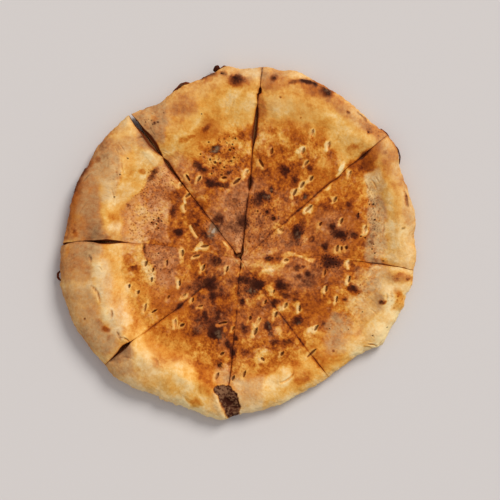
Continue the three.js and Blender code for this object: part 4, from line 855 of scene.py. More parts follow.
    (-66, -82, 9, 6, -30, 0, 0.3), (-44, -87, 9, 4, 0, 0, 0.3), (-72, -98, 7, 5, -30, 0, 0.3),
    (-101, -15, 6, 16, 0, 0, 0.25), (-91, 7, 6, 5, 0, 0, 0.25), (-82, 57, 6, 5, 0, 0, 0.25),
    (-56, 58, 5, 6, 0, 0, 0.25), (-47, 82, 7, 5, 0, 0, 0.25), (-82, 86, 7, 5, 30, 0, 0.3),
    (10, 122, 12, 5, 0, 0, 0.3), (25, 98, 9, 6, 0, 0, 0.2), (83, 92, 10, 6, -40, 0, 0.3),
    (108, 68, 6, 8, 30, 0, 0.3), (124, 24, 4, 9, 0, 0, 0.3), (121, -15, 5, 10, 0, -0.02, 0.35),
    (110, -49, 5, 5, 0, 0, 0.25), (90, -71, 10, 4, 20, 0, 0.25), (25, -100, 14, 4, 20, 0, 0.25),
    (6, -12, 10, 6, 0, 0, 0.25), (70, -2, 7, 7, 0, 0, 0.2), (48, -2, 6, 5, 0, 0, 0.15),
    (33, 24, 6, 6, 0, 0, 0.15), (-60, 24, 16, 14, 0, 0, 0.12), (5, -40, 5, 5, 0, 0, 0.2),
    (-8, -76, 6, 4, 0, 0, 0.2), (72, -56, 5, 3, 0, 0.04, 0.3), (71, -68, 5, 6, 0, 0.03, -0.1),
    (95, -31, 6, 5, 0, -0.02, 0.2), (30, -18, 5, 3, 0, 0.04, 0), (-110, 22, 5, 8, 0, 0, 0.15),
    (-92, 33, 4, 8, 0, -0.02, 0.1),
)

# Where the flour is beige although the middle's is pinkish: an oval.
beigePlaces = (
    (97, 16, 8, 34, 4), (94, -28, 13, 12, 0), (88, -48, 16, 12, 20), (72, -64, 11, 14, 0),
    (12, -102, 24, 9, 0),
)

# Where the crust is more even than elsewhere: an oval, then how much.
calm = (
    (-58, -42, 24, 20, 20, 0.6), (-48, -72, 24, 9, 10, 0.5), (66, 46, 16, 14, 30, 0.5),
    (60, -55, 12, 18, 20, 0.5), (80, 10, 10, 24, 0, 0.4), (30, 92, 34, 12, -15, 0.3),
    (-20, 92, 18, 14, 0, 0.3), (-74, 20, 12, 18, 0, 0.4), (-106, 36, 14, 28, -15, 0.65),
    (-108, -28, 16, 30, 0, 0.3), (-62, 22, 12, 16, 0, 0.2), (60, 5, 20, 20, 0, 0.15),
)

# Where dark specks are thick: x, y, half length, half width, turn, how thick.
peppered = (
    (-57, 42, 13, 12, 30, 1.0), (-10, 60, 13, 15, 0, 1.0), (-59, 14, 8, 9, 0, 0.9), (97, 24, 5, 24, 5, 0.6),
    (66, -15, 10, 7, 0, 1.0), (8, -32, 12, 8, 10, 0.8), (-62, 88, 9, 7, 20, 0.6), (-68, 20, 16, 20, 0, 0.5),
    (-56, -16, 12, 18, 0, 0.5), (12, 12, 22, 22, 0, 0.6), (-88, 50, 6, 14, 10, 0.5),
    (112, -42, 6, 10, 0, 0.7), (116, -25, 9, 4, 0, 0.6), (95, 82, 12, 4, -40, 0.5),
    (94, -30, 9, 10, 0, 0.35), (-118, -14, 5, 12, 0, 0.5), (44, 7, 6, 10, 0, 0.8), (19, 33, 9, 6, 0, 0.8),
    (73, 5, 9, 6, 0, 0.8), (-18, 10, 8, 9, 0, 0.7),
)

# Small open pits: x, y, half width.
pits = (
    (-20, 59, 1.1), (-16.5, 57, 1.3), (-13, 56.5, 1.4), (-10, 53.5, 1.1), (-18, 53, 1.0), (-5, 58, 1.0),
    (-3, 60.5, 0.9), (-6, 66, 1.1), (-3, 67, 0.9), (-4, 70, 0.7), (-2, 74, 0.8), (-6, 75.5, 0.7),
    (-8, 71, 0.7), (-21, 71.5, 0.8), (-27, 63, 0.9), (-12, 48, 0.9), (-19, 49, 0.9), (-60.5, 16, 1.0),
    (-57, 17, 1.0), (-58.5, 13, 0.9), (-55, 15, 1.0), (-62, 14, 0.7), (-57, 10, 0.8), (-78.5, 59.5, 0.8),
    (-84, 48, 0.7), (-88, 32, 0.7), (-40.5, 40.5, 1.0), (14, 22, 1.0), (20.5, 21.5, 1.5), (25.5, 16.5, 1.7),
    (24, 36, 1.2), (86, 20, 0.9), (97, 27, 0.8), (94, 27, 0.7), (98, 16, 0.8), (88, 4, 0.9), (91, 3, 0.8),
    (97, -1.5, 0.8), (96, -5, 0.6), (104, -13.5, 0.7), (98, -8, 0.6), (62, -12, 1.0), (65, -15, 0.9),
    (68, -12, 0.9), (70, -16, 0.8), (64, -18, 0.8), (89, -50, 0.7), (86.5, -37, 0.7), (65.5, -62, 0.6),
    (79, -62.5, 0.6), (106.5, -61, 0.6), (96, -67, 0.6), (-53, 92, 0.6), (-26, 91.5, 0.6), (-62, 87, 0.5),
    (-61, 84, 0.5), (-64, 88, 0.5), (-66, 86, 0.5), (-110, -55, 0.7), (-57, -8, 0.7),
)

# Burnt lines along the edge and thin burnt skin: x, y to x, y, sideways bow, half width, how burnt, height.
burntLines = (
    (38, 114.2, 46, 115.4, 0.4, 0.9, 0.3, 0.3), (46, 115.3, 55, 113.3, 0.4, 1.2, 1.0, 0.4),
    (-25, 116.6, -17, 120.4, 0.4, 0.9, 0.7, 0.3), (-110, 53, -112, 48, 0.2, 1.0, 0.5, 0.2),
    (-114, 44, -118, 36, 0.3, 1.0, 0.5, 0.3), (92, -75, 97, -76.5, 0.6, 0.5, 0.5, 0.3),
    (119, 36, 121.5, 26, 0.3, 0.7, 0.5, 0.2), (86, 93, 92, 87, 0.2, 0.5, 0.5, 0.2),
    (-9, 120, -12, 121, 0, 0.9, 0.8, -0.6),
)

# Burnt flakes that stand off the edge: the path as x, y, z, then half width, half thickness, how baked, how
# burnt.
flakes = (
    (((-47.8, 104.3, 5.5), (-45.4, 108.4, 7), (-41, 112.6, 8), (-37, 114.1, 7), (-32.6, 113, 5.5)),
     1.1, 0.7, 0.8, 0.8),
    (((-17, 122.4, 5.5), (-15.2, 125, 6.5), (-13.4, 126, 6)), 1.9, 1.5, 1.0, 1.0),
    (((-13.4, 123.8, 6), (-10, 126.4, 6.5), (-5.6, 125, 6)), 0.6, 0.6, 0.85, 0.3),
    (((-26.4, 115.6, 6), (-21.5, 118.9, 6.8), (-16, 120.9, 6)), 0.9, 0.8, 0.95, 0.8),
    (((102.4, 81.4, 6), (106.4, 78, 7), (108.4, 75.2, 6.5)), 0.6, 0.5, 0.85, 0.4),
    (((111, 71.4, 6), (114.6, 66.8, 6.5), (116.2, 61.4, 6.5), (115.7, 56, 6)), 0.55, 0.6, 0.9, 0.7),
    (((-126.8, -20.2, 5.5), (-129.2, -22.4, 6), (-129.2, -25.4, 6), (-126.8, -28, 5.5)), 0.8, 0.7, 0.9, 0.7),
)


def cells(x, y, size, seed):
    # distance to the nearest of a scatter of points about size apart, in sizes, and that point's own share
    shiftX, shiftY = scatter["cellShift"]
    a, b = x / size + shiftX * seed, y / size + shiftY * seed
    nearest, own = np.full(x.shape, farOff), np.zeros(x.shape)
    for i in (-1, 0, 1):
        for j in (-1, 0, 1):
            cornerA, cornerB = np.floor(a) + i, np.floor(b) + j
            away = np.hypot(cornerA + hashed(cornerA, cornerB, seed) - a,
                            cornerB + hashed(cornerA, cornerB, seed + 1) - b)
            own = np.where(away < nearest, hashed(cornerA, cornerB, seed + 2), own)
            nearest = np.minimum(nearest, away)
    return nearest, own


def fromLine(x, y, start, end, bow=0):
    # distance from a bowed line, and the place along it, 0 to 1 between its ends
    dx, dy = end[0] - start[0], end[1] - start[1]
    length = math.hypot(dx, dy)
    along = ((x - start[0]) * dx + (y - start[1]) * dy) / (length * length)
    inLine = np.clip(along, 0, 1)
    across = ((y - start[1]) * dx - (x - start[0]) * dy) / length - bow * 4 * inLine * (1 - inLine)
    return np.hypot(across, (along - inLine) * length), inLine


def outside(x, y, outline):
    # distance from a closed outline in mm, negative inside it
    nearest, within = np.full(x.shape, farOff), np.zeros(x.shape, bool)
    for (startX, startY), (endX, endY) in zip(outline, outline[1:] + outline[:1]):
        nearest = np.minimum(nearest, fromLine(x, y, (startX, startY), (endX, endY))[0])
        share = (y - startY) / ((endY - startY) or 1)
        within ^= ((startY > y) != (endY > y)) & (x < startX + share * (endX - startX))
    return np.where(within, -nearest, nearest)


def blotches(x, y, z, layers, seed):
    # like layered, with crisper outlines
    return sum(high * (2 * smooth(-crust["crisp"], crust["crisp"], clouds(x, y, z, size, seed + n)) - 1)
               for n, (size, high) in enumerate(layers))


def fading(fades, away):
    # 1 in the middle of a mark, and 0 from where it has faded out
    return 1 - smooth(*fades, away)


def crustPlace(x, y, z, angle, inside):
    # what the marks need to know of each point: its place, how far the outlines stray there, how far in from
    # the edge it lies, its share of the flat middle and how rough the crust is there
    strays = crust["middleStrays"] * clouds(x, y, z, crust["middleStraySize"], seeds["middleStrays"])
    return {
        "x": x, "y": y, "z": z, "angle": angle, "inside": inside,
        "middle": smooth(*crust["middleFrom"], inside - rimSize("foot", angle) + strays),
        "rough": layered(x, y, z, crust["rough"], seeds["rough"]),
        "strayX": x + crust["warp"] * clouds(x, y, z, crust["warpSize"], seeds["warpX"]),
        "strayY": y + crust["warp"] * clouds(x, y, z, crust["warpSize"], seeds["warpY"]),
    }


def bakeAreas(skin, at, sliceName):
    # the colour and the flour of the rim and the middle, of the slice's own areas and of the spots in them
    rough, inside, middle = at["rough"], at["inside"], at["middle"]
    bake = lerp(crust["rimBake"], crust["middleBake"], middle)
    flour = crust["rimFlour"] * fading(crust["rimFlourFade"], inside + crust["flourRagged"] * rough)
    for areaBake, areaFlour, soft, outline in areas[sliceName]:
        blur = crust["areaBlur"] * soft
        away = outside(at["strayX"], at["strayY"], outline) + crust["areaRagged"] * blur * rough
        near = fading((-blur, blur), away)
        bake = lerp(bake, areaBake, near)
        flour = lerp(flour, areaFlour, near)
    for *oval, spotBake in spots:
        away = outOf(at["strayX"], at["strayY"], oval) + crust["spotRagged"] * rough
        near = fading(crust["spotFades"], away)
        bake = lerp(bake, spotBake, near)
        flour = flour * (1 - crust["spotWipes"] * near)
    # painted light along the edge on that side of the rim
    turnedTo = smooth(*paintedLightEdge["turned"], np.cos(at["angle"] - paintedLightEdge["around"] * degree))
    bake = bake - paintedLightEdge["change"] * turnedTo * fading((0, paintedLightEdge["wide"]), inside)
    dust = layered(at["x"], at["y"], at["z"], crust["middleDust"], seeds["dust"])
    dust = smooth(*crust["dustFrom"], dust)
    flour = np.maximum(flour, crust["rimDust"] * (1 - middle)) + crust["middleDusty"] * dust * middle
    skin["bake"], skin["flour"] = bake, flour


def mottleCrust(skin, at):
    # the uneven colour between the areas' outlines, and the tones
    x, y, z, middle = at["x"], at["y"], at["z"], at["middle"]
    calmed = 1
    for *oval, calmer in calm:
        calmed = calmed - calmer * fading(crust["calmFades"], outOf(at["strayX"], at["strayY"], oval))
    onRim = blotches(x, y, z, crust["rimMottle"], seeds["rimMottle"])
    inMiddle = blotches(x, y, z, crust["middleMottle"], seeds["middleMottle"])
    mottle = lerp(onRim, inMiddle, middle)
    skin["bake"] += np.maximum(calmed, crust["calmest"]) * mottle
    for *oval, browner, flourier in tones:
        near = mound(x, y, oval)
        skin["bake"] += browner * near
        skin["flour"] = np.clip(skin["flour"] + flourier * near, 0, 1)
    grain = lerp(crust["rimGrain"], 1, middle) * layered(x, y, z, crust["flourGrain"], seeds["flourGrain"])
    skin["flour"] *= np.clip(crust["flourShare"] + grain, 0, crust["mostFlour"])


# What lies all over the crust. onRim is the share of it that shows on the rim.
blister = {
    "size": 2.6, "height": 0.25, "share": 0.55, "onRim": 0.3, "dark": 0.1, "darkFrom": 0.2,
    "wide": 0.42,                # half width of each, as a share of the distance between them
}
wrinkle = {
    "size": 5.0, "deep": 0.18, "dark": 0.05, "wide": 0.16, "onRim": 0.3,
    "placeSize": 9, "places": (-0.1, 0.5),
}
streak = {"turn": 60, "size": 1.5, "long": 3.2, "dark": 0.05, "high": 0.1, "onRim": 0.25}
# The line that a closed cut leaves, pressed crust with painted shade for the closed gap, and how much its
# darkness varies along it.
scarLine = {"wide": 0.75, "varies": 0.9, "size": 7, "least": 0.2, "most": 2}


def grainCrust(skin, at):
    # blisters, wrinkles, streaks and scars
    x, y, z, middle = at["x"], at["y"], at["z"], at["middle"]
    nearest, own = cells(x, y, blister["size"], seeds["blister"])
    dome = np.where(own < blister["share"], np.clip(1 - (nearest / blister["wide"]) ** 2, 0, 1), 0)
    dome = dome * lerp(blister["onRim"], 1, middle)
    skin["raised"] = layered(x, y, z, crust["lumps"], seeds["lumps"]) + blister["height"] * dome
    skin["bake"] += blister["dark"] * dome * (own - blister["darkFrom"])
    wave = clouds(at["strayX"], at["strayY"], z, wrinkle["size"], seeds["wrinkle"])
    fold = fading((0, wrinkle["wide"]), np.abs(wave))
    fold = fold * smooth(*wrinkle["places"], clouds(x, y, z, wrinkle["placeSize"], seeds["wrinklePlaces"]))
    skin["raised"] -= wrinkle["deep"] * fold
    skin["bake"] += wrinkle["dark"] * fold * lerp(wrinkle["onRim"], 1, middle)
    turn = streak["turn"] * degree
    stretched = (x * math.cos(turn) + y * math.sin(turn)) / streak["long"]
    line = clouds(stretched, y * math.cos(turn) - x * math.sin(turn), z, streak["size"], seeds["streak"])
    skin["bake"] += streak["dark"] * line * lerp(streak["onRim"], 1, middle)
    skin["raised"] += streak["high"] * line * lerp(streak["onRim"], 1, middle)
    away, gap, scarAndShade = besideCut(at["angle"], edgeReach(at["angle"]) - at["inside"])
    uneven = 1 + scarLine["varies"] * clouds(x, y, z, scarLine["size"], seeds["scarAndShade"])
    uneven = np.clip(uneven, scarLine["least"], scarLine["most"])
    # the dark line along each cut is the pressed crust with painted shade for the closed gap
    skin["bake"] += scarAndShade * np.exp(-(away / scarLine["wide"]) ** 2) * uneven


# Dark specks, which are thick in the peppered places.
speck = {
    "size": 2.3, "finer": (1, 0.6), "share": 0.22, "dark": 0.09, "char": 0.35, "fades": (0.12, 0.34),
    "onRim": 0.25, "peppered": 2, "most": 2, "pepperFades": (0.6, 1.2), "ragged": 0.2,
}


def addSpecks(skin, at):
    x, y = at["x"], at["y"]
    pepper = lerp(speck["onRim"], 1, at["middle"])
    for *oval, thicker in peppered:
        away = outOf(x, y, oval) + speck["ragged"] * at["rough"]
        pepper = pepper + speck["peppered"] * thicker * fading(speck["pepperFades"], away)
    thick = np.minimum(pepper, speck["most"])
    for finer, seed in zip(speck["finer"], seeds["speck"]):
        nearest, own = cells(x, y, finer * speck["size"], seed)
        dot = (own < speck["share"] * thick) * fading(speck["fades"], nearest)
        skin["bake"] += speck["dark"] * dot * thick
        skin["char"] = np.maximum(skin["char"], speck["char"] * dot * np.clip(pepper - 1, 0, 1))


# A scorched blister: black, browner crust around it, and no flour. The blackest ones are more even.
scorch = {
    "ragged": (0.5, 0.2), "evenPower": 4, "blackest": 0.15, "fades": (0.4, 1.0), "humpRough": 0.5,
    "brown": 0.28, "brownFades": (0.7, 1.7), "wipes": 0.7, "wipeFades": (0.6, 1.4),
    "grit": 0.85, "gritSizes": ((1.5, 0.5), (0.8, 0.45)),
}


def addScorches(skin, at):
    for *oval, dark, high in scorches:
        even = dark ** scorch["evenPower"]
        away = outOf(at["x"], at["y"], oval) + lerp(*scorch["ragged"], even) * at["rough"]
        black = dark * fading(scorch["fades"], away) * (at["grit"] + scorch["blackest"] * even)
        skin["char"] = np.maximum(skin["char"], black)
        skin["bake"] += scorch["brown"] * dark * fading(scorch["brownFades"], away)
        skin["flour"] *= 1 - scorch["wipes"] * dark * fading(scorch["wipeFades"], away)
        hump = np.clip(1 - away * away, 0, 1) * (1 + scorch["humpRough"] * at["rough"])
        skin["raised"] += high * hump


# A small open pit, black inside, with a paler raised rim.
pit = {
    "ragged": 0.3, "fades": (0.5, 1.1), "rimFades": (1.2, 2.0), "char": 0.75, "deep": 0.8,
    "rimHigh": 0.2, "rimPaler": 0.08, "rimWipes": 0.5,
}


def addPits(skin, at):
    for px, py, wide in pits:
        away = np.hypot(at["x"] - px, at["y"] - py) / wide + pit["ragged"] * at["rough"]
        hole = fading(pit["fades"], away)
        rimmed = (1 - hole) * fading(pit["rimFades"], away)
        skin["char"] = np.maximum(skin["char"] * (1 - pit["rimWipes"] * rimmed), pit["char"] * hole)
        skin["raised"] += pit["rimHigh"] * rimmed - pit["deep"] * hole
        skin["bake"] -= pit["rimPaler"] * rimmed


# A slit: its half width and how much that varies, its dark core, a painted shadow towards the upper right,
# and its pale lip towards the lower left, pale dough with a painted highlight.
slit = {
    "halfWide": 0.85, "varies": (0.8, 0.5), "blunt": 0.06, "deep": 1.8, "ragged": 0.25, "fades": (0.5, 1.5),
    "shadeTo": (0.4, 0.3), "coreFades": (0.4, 1.2), "coreBrown": 0.25, "char": 0.85, "ash": 0.08,
    "litTo": (0.9, 0.65), "lip": 0.3, "halo": 1.9, "lipRagged": 0.4, "lipFades": (-0.1, 1.1),
    "lipBake": 0.13, "lipPale": 0.9, "lipFlour": 0.25, "lipWipes": 0.8,
}


def addSlits(skin, at):
    x, y, rough = at["x"], at["y"], at["rough"]
    for px, py, length, turn, dark, pale in slits:
        narrowest, more = slit["varies"]
        wide = slit["halfWide"] * (narrowest + more * hashed(np.array(px), np.array(py)))
        half = 0.5 * length
        dx, dy = half * math.cos(turn * degree), half * math.sin(turn * degree)
        ends = (px - dx, py - dy), (px + dx, py + dy)
        away, along = fromLine(x, y, *ends)
        leaf = wide * np.sqrt(np.maximum(4 * along * (1 - along), slit["blunt"]))
        shade = fromLine(x - slit["shadeTo"][0], y - slit["shadeTo"][1], *ends)[0]
        lit = fromLine(x + slit["litTo"][0], y + slit["litTo"][1], *ends)[0]
        hole = fading(slit["fades"], away / leaf + slit["ragged"] * rough)
        # the dark core is painted shadow on the slit's wall that is turned from the light
        paintedShadow = fading(slit["coreFades"], shade / leaf + slit["ragged"] * rough)
        # the pale lip is pale dough and a painted highlight on the wall that is turned to the light
        lip = fading(slit["lipFades"], (lit - leaf) / slit["halo"] + slit["lipRagged"] * rough)
        skin["raised"] += slit["lip"] * lip * (1 - hole) - slit["deep"] * hole
        skin["bake"] = lerp(skin["bake"], slit["lipBake"], slit["lipPale"] * pale * lip)
        skin["bake"] += slit["coreBrown"] * dark * paintedShadow
        skin["flour"] = lerp(skin["flour"], slit["lipFlour"], pale * lip)
        skin["char"] = lerp(skin["char"] * (1 - slit["lipWipes"] * lip), slit["char"] * dark, paintedShadow)
        skin["ash"] = np.maximum(skin["ash"], slit["ash"] * dark * paintedShadow)


flap = {"fades": (0.6, 1.2), "ragged": 0.15, "paler": 0.2, "wipes": 0.8}


def addFlaps(skin, at):
    for *oval, pale, high in flaps:
        fold = fading(flap["fades"], outOf(at["x"], at["y"], oval) + flap["ragged"] * at["rough"])
        skin["bake"] -= flap["paler"] * pale * fold
        skin["char"] *= 1 - flap["wipes"] * fold
        skin["raised"] += high * fold


# A crease is a groove, darkened with painted shade, with raised, paler sides. Its depth at its ends is a
# share of that in its middle.
crease = {"atEnds": 0.4, "sideWide": 3, "sideHigh": 0.35, "brown": 0.5, "sidePaler": 0.08}


def addCreases(skin, at):
    for startX, startY, endX, endY, bow, wide, deep, dark in creases:
        away, along = fromLine(at["x"], at["y"], (startX, startY), (endX, endY), bow)
        groove = np.exp(-(away / wide) ** 2) * lerp(crease["atEnds"], 1, np.sin(math.pi * along))
        side = np.exp(-(away / (crease["sideWide"] * wide)) ** 2) - groove
        skin["raised"] += crease["sideHigh"] * deep * side - deep * groove
        # the groove is painted darker, a painted shade
        skin["bake"] += crease["brown"] * dark * groove - crease["sidePaler"] * side


burntLine = {"fades": (0.4, 1.3), "ragged": 0.35, "brown": 0.3, "brownFades": (1, 3), "brownRagged": 0.4}


def addBurntLines(skin, at):
    rough = at["rough"]
    for startX, startY, endX, endY, bow, wide, burnt, high in burntLines:
        away = fromLine(at["x"], at["y"], (startX, startY), (endX, endY), bow)[0] / wide
        line = fading(burntLine["fades"], away + burntLine["ragged"] * rough)
        around = fading(burntLine["brownFades"], away + burntLine["brownRagged"] * rough)
        skin["char"] = np.maximum(skin["char"], burnt * line * at["grit"])
        skin["bake"] += burntLine["brown"] * burnt * around
        skin["raised"] += high * line


# Ash lies in patches, and more solidly where there is most of it.
ashCover = {
    "sizes": ((1.3, 1), (0.7, 0.6)), "patches": (-0.5, 0.6), "fades": (0.4, 1.4), "ragged": 0.3,
    "solid": 0.5, "solidPower": 8,
}


def addBumpsAndAsh(skin, at):
    x, y, z = at["x"], at["y"], at["z"]
    for *oval, high in bumps:
        skin["raised"] += high * mound(x, y, oval)
    patchy = smooth(*ashCover["patches"], layered(x, y, z, ashCover["sizes"], seeds["ash"]))
    for *oval, ashen in ashes:
        solid = ashCover["solid"] * ashen ** ashCover["solidPower"]
        near = fading(ashCover["fades"], outOf(x, y, oval) + ashCover["ragged"] * at["rough"])
        skin["ash"] = np.maximum(skin["ash"], ashen * lerp(patchy, 1, solid) * near)


# Inside the crater the crust is charred rubble with ashen crumbs, blackest in one spot, palest in another.
craterLook = {
    "fades": (-0.6, 0.6), "ragged": 0.7, "rubble": 0.5, "deep": 1.2, "char": 0.75, "crumbWipes": 0.6,
    "crumbs": ((1.1, 1), (0.7, 0.8)), "crumbsFrom": (-0.5, 0.9), "paler": 0.5, "palestFades": (0.4, 1.2),
    "darkestFades": (0.5, 1.2), "darkestRagged": 0.3, "bake": 0.94, "crumbPaler": 0.12, "darker": 0.06,
    "ash": 0.6, "lipWide": 1.8, "lipHigh": 0.7, "lipPaler": 0.16, "lipFlour": 0.6,
}


def addCrater(skin, at):
    x, y, z, rough, look = at["x"], at["y"], at["z"], at["rough"], craterLook
    inCrater = fading(look["fades"], outside(x, y, crater["outline"]) + look["ragged"] * rough)
    lip = np.exp(-(fromLine(x, y, *crater["lip"])[0] / look["lipWide"]) ** 2) * (1 - inCrater)
    palest = look["paler"] * fading(look["palestFades"], outOf(x, y, crater["palest"]))
    crumbs = smooth(*look["crumbsFrom"], layered(x, y, z, look["crumbs"], seeds["crumbs"]) + palest)
    away = outOf(x, y, crater["darkest"]) + look["darkestRagged"] * rough
    darkest = fading(look["darkestFades"], away)
    rubble = look["rubble"] * (rough + crumbs) - look["deep"]
    skin["raised"] += inCrater * rubble + look["lipHigh"] * lip
    black = look["char"] * (1 - look["crumbWipes"] * crumbs * (1 - darkest))
    skin["char"] = lerp(skin["char"] * (1 - lip), black, inCrater)
    brown = look["bake"] - look["crumbPaler"] * crumbs * (1 - darkest) + look["darker"] * darkest
    skin["bake"] = lerp(skin["bake"] - look["lipPaler"] * lip, brown, inCrater)
    skin["flour"] = np.maximum(skin["flour"] * (1 - inCrater), look["lipFlour"] * lip)
    ashen = look["ash"] * crumbs * inCrater * (1 - darkest)
    skin["ash"] = np.maximum(skin["ash"] * (1 - inCrater), ashen)


def crustSkin(x, y, z, angle, inside, sliceName):
    # the crust's paint, from 0 to 1, and how far it is raised, in millimetres
    at = crustPlace(x, y, z, angle, inside)
    at["grit"] = scorch["grit"] + layered(x, y, z, scorch["gritSizes"], seeds["grit"])
    skin = {"char": np.zeros(x.shape), "ash": np.zeros(x.shape)}
    bakeAreas(skin, at, sliceName)
    for addMarks in (mottleCrust, grainCrust, addSpecks, addScorches, addPits, addSlits, addFlaps,
                     addCreases, addBurntLines, addBumpsAndAsh, addCrater):
        addMarks(skin, at)
    beige = 1 - at["middle"]
    for oval in beigePlaces:
        beige = np.maximum(beige, fading(crust["beigeFades"], outOf(at["strayX"], at["strayY"], oval)))
    skin["beige"] = beige
    return {name: skin[name] for name in ("bake", "char", "flour", "ash", "beige")}, skin["raised"]


def addPaint(mesh, paint):
    for name, values in paint.items():
        layer = mesh.attributes.new(name, "FLOAT", "POINT")
        layer.data.foreach_set("value", np.clip(values, 0, 1).astype(np.float32))


# The edge is rougher than the rest: its lumps, and how far in from it they and the small dents reach.
edge = {
    "lumps": ((5.0, 0.5), (2.6, 0.4), (1.4, 0.25)), "lumpsWithin": 5, "dentsWithin": 26,
    "outermost": 0.999,          # the share of the way out from which a point is pushed sideways only
    "upperFrom": 0.3,            # the share of the height from which the walls have all their marks
}
# The cut faces are painted toasted brown up to the crust, the crust's own edge and painted shade in the
# narrow cuts, with pale crumb between two heights, as shares.
cutFace = {
    "tiny": 1e-4, "crumbFrom": (0.02, 0.1), "crumbTo": (0.55, 0.85),
    "toastedTo": (0.9, 1), "toastedAndShaded": 0.88,
}
# The underside, which lay on the oven floor. No scorch reaches the lower part of the walls.
underside = {
    "below": (0.0, 0.02), "bake": 0.45, "mottle": ((24.0, 0.09), (10.0, 0.1), (6.0, 0.08), (3.0, 0.05)),
    "flour": 0.25, "scorchFrom": (0.5, 0.9),
}


def paintSides(paint, crustX, crustY, s, u, h):
    # the colour of the cut faces, the lower wall and the underside
    onCut = (u < cutFace["tiny"]) | (u > 1 - cutFace["tiny"]) | (s < cutFace["tiny"])
    # the toasted brown on the cut faces is the crust's edge and painted shade in the narrow gaps
    toastedAndShaded = onCut * fading(cutFace["toastedTo"], h)
    paint["bake"] = paint["bake"] + toastedAndShaded * (cutFace["toastedAndShaded"] - paint["bake"])
    paint["flour"] = paint["flour"] * (1 - toastedAndShaded)
    below = fading(underside["below"], h)
    bottom = underside["bake"] + blotches(crustX, crustY, 0 * h, underside["mottle"], seeds["underside"])
    paint["bake"] = lerp(paint["bake"], bottom, below)
    paint["flour"] = lerp(paint["flour"], underside["flour"] + 0 * h, below)
    for name in ("char", "ash"):
        paint[name] = paint[name] * smooth(*underside["scorchFrom"], h)
    paint["crumb"] = onCut * fading(cutFace["crumbTo"], h) * smooth(*cutFace["crumbFrom"], h)


def makeSlice(block, n):
    first, second = cuts[n], cuts[(n + 1) % len(cuts)]
    piece = block.copy()
    piece.data = block.data.copy()
    piece.name = piece.data.name = "crust_" + sliceNames[n]
    bpy.context.collection.objects.link(piece)
    tip = sliceTips.get(sliceNames[n], bread["crustTip"])
    s, u, h, angle, top, x, y, z = shapeSlice(piece.data, first, second, tip)
    inside = edgeReach(angle) - top
    crustX, crustY = bread["hub"][0] + top * np.cos(angle), bread["hub"][1] + top * np.sin(angle)
    paint, raised = crustSkin(crustX, crustY, z, angle, inside, sliceNames[n])
    outShare = np.clip(inside / rimSize("crest", angle), 0, 1)
    outward = np.where(s > edge["outermost"], 1, np.cos(outShare * math.pi / 2))
    nearEdge = fading((0, edge["lumpsWithin"]), inside)
    *oval, more = ragged
    rougher = 1 + more * mound(crustX, crustY, oval)
    raised = raised + nearEdge * rougher * layered(crustX, crustY, z, edge["lumps"], seeds["edge"])
    raised = raised * smooth(0, edge["upperFrom"], h)
    pushed = pushedBy(angle, smallDents) * fading((0, edge["dentsWithin"]), inside)
    pushed = pushed * smooth(0, edge["upperFrom"], h)
    x = x + (raised * outward + pushed) * np.cos(angle)
    y = y + (raised * outward + pushed) * np.sin(angle)
    z = np.maximum(z + raised * np.sqrt(1 - outward * outward) * h, 0)
    paintSides(paint, crustX, crustY, s, u, h)
    setPlaces(piece.data, x, y, z)
    addPaint(piece.data, paint)
    return piece


# A flake is a bar along its path, rounded, ragged and tapering to both ends.
flake = {
    "cuts": 13, "blunt": 0.02, "tiny": 1e-6,
    "lookAhead": 0.2,            # how far along the path it looks for its direction
    "rough": 0.35, "lumps": ((3.0, 0.6), (1.4, 0.4)), "lumpsAcross": 3,
    "char": (0.75, 0.8), "bakeRough": 0.25, "ash": 0.25, "ashFrom": 0.3,
}


def makeFlake(path, halfWide, halfThick, baked, burnt):
    bpy.ops.mesh.primitive_cube_add(size=2)
    piece = bpy.context.object
    bpy.ops.object.mode_set(mode="EDIT")
    bpy.ops.mesh.subdivide(number_cuts=flake["cuts"])
    bpy.ops.object.mode_set(mode="OBJECT")
    block = np.empty(len(piece.data.vertices) * 3)
    piece.data.vertices.foreach_get("co", block)
    along, across, up = block.reshape(-1, 3).T
    squared = np.maximum(np.abs(across), np.abs(up)) / np.maximum(np.hypot(across, up), flake["tiny"])
    leaf = np.sqrt(np.sqrt(np.maximum(1 - along * along, flake["blunt"])))
    steps = np.linspace(-1, 1, len(path))
    x, y, z = (np.interp(along, steps, [point[i] for point in path]) for i in range(3))
    look = flake["lookAhead"]
    aheadX, aheadY = (np.interp(along + look, steps, [point[i] for point in path])
                      - np.interp(along - look, steps, [point[i] for point in path]) for i in range(2))
    far = np.hypot(aheadX, aheadY)
    acrossLumps = flake["lumpsAcross"]
    rough = layered(x + acrossLumps * across, y, z + acrossLumps * up, flake["lumps"], seeds["flake"])
    sideways = halfWide * leaf * across * squared * (1 + flake["rough"] * rough)
    x, y = x - sideways * aheadY / far, y + sideways * aheadX / far
    z = z + halfThick * leaf * up * squared * (1 + flake["rough"] * rough)
    setPlaces(piece.data, x, y, z)
    charred, charredRough = flake["char"]
    none = 0 * x
    addPaint(piece.data, {"bake": baked + flake["bakeRough"] * rough,
                          "char": burnt * (charred + charredRough * rough), "flour": none,
                          "ash": flake["ash"] * (rough > flake["ashFrom"]), "crumb": none, "beige": none})
    return piece


def linearOf(hexColour):
    parts = [int(hexColour[i:i + 2], 16) / 255 for i in (0, 2, 4)]
    return [part / 12.92 if part <= 0.04045 else ((part + 0.055) / 1.055) ** 2.4 for part in parts] + [1]


def addNode(tree, kind, values=None, links=None, **settings):
    node = tree.nodes.new(kind)
    for name, value in settings.items():
        setattr(node, name, value)
    for socket, value in (values or {}).items():
        node.inputs[socket].default_value = value
    for socket, source in (links or {}).items():
        tree.links.new(source, node.inputs[socket])
    return node


def addRamp(tree, colours, source):
    ramp = addNode(tree, "ShaderNodeValToRGB", links={"Fac": source})
    points = ramp.color_ramp.elements
    while len(points) < len(colours):
        points.new(0.5)
    for point, (at, colour) in zip(points, colours):
        point.position = at
        point.color = linearOf(colour)
    return ramp.outputs["Color"]


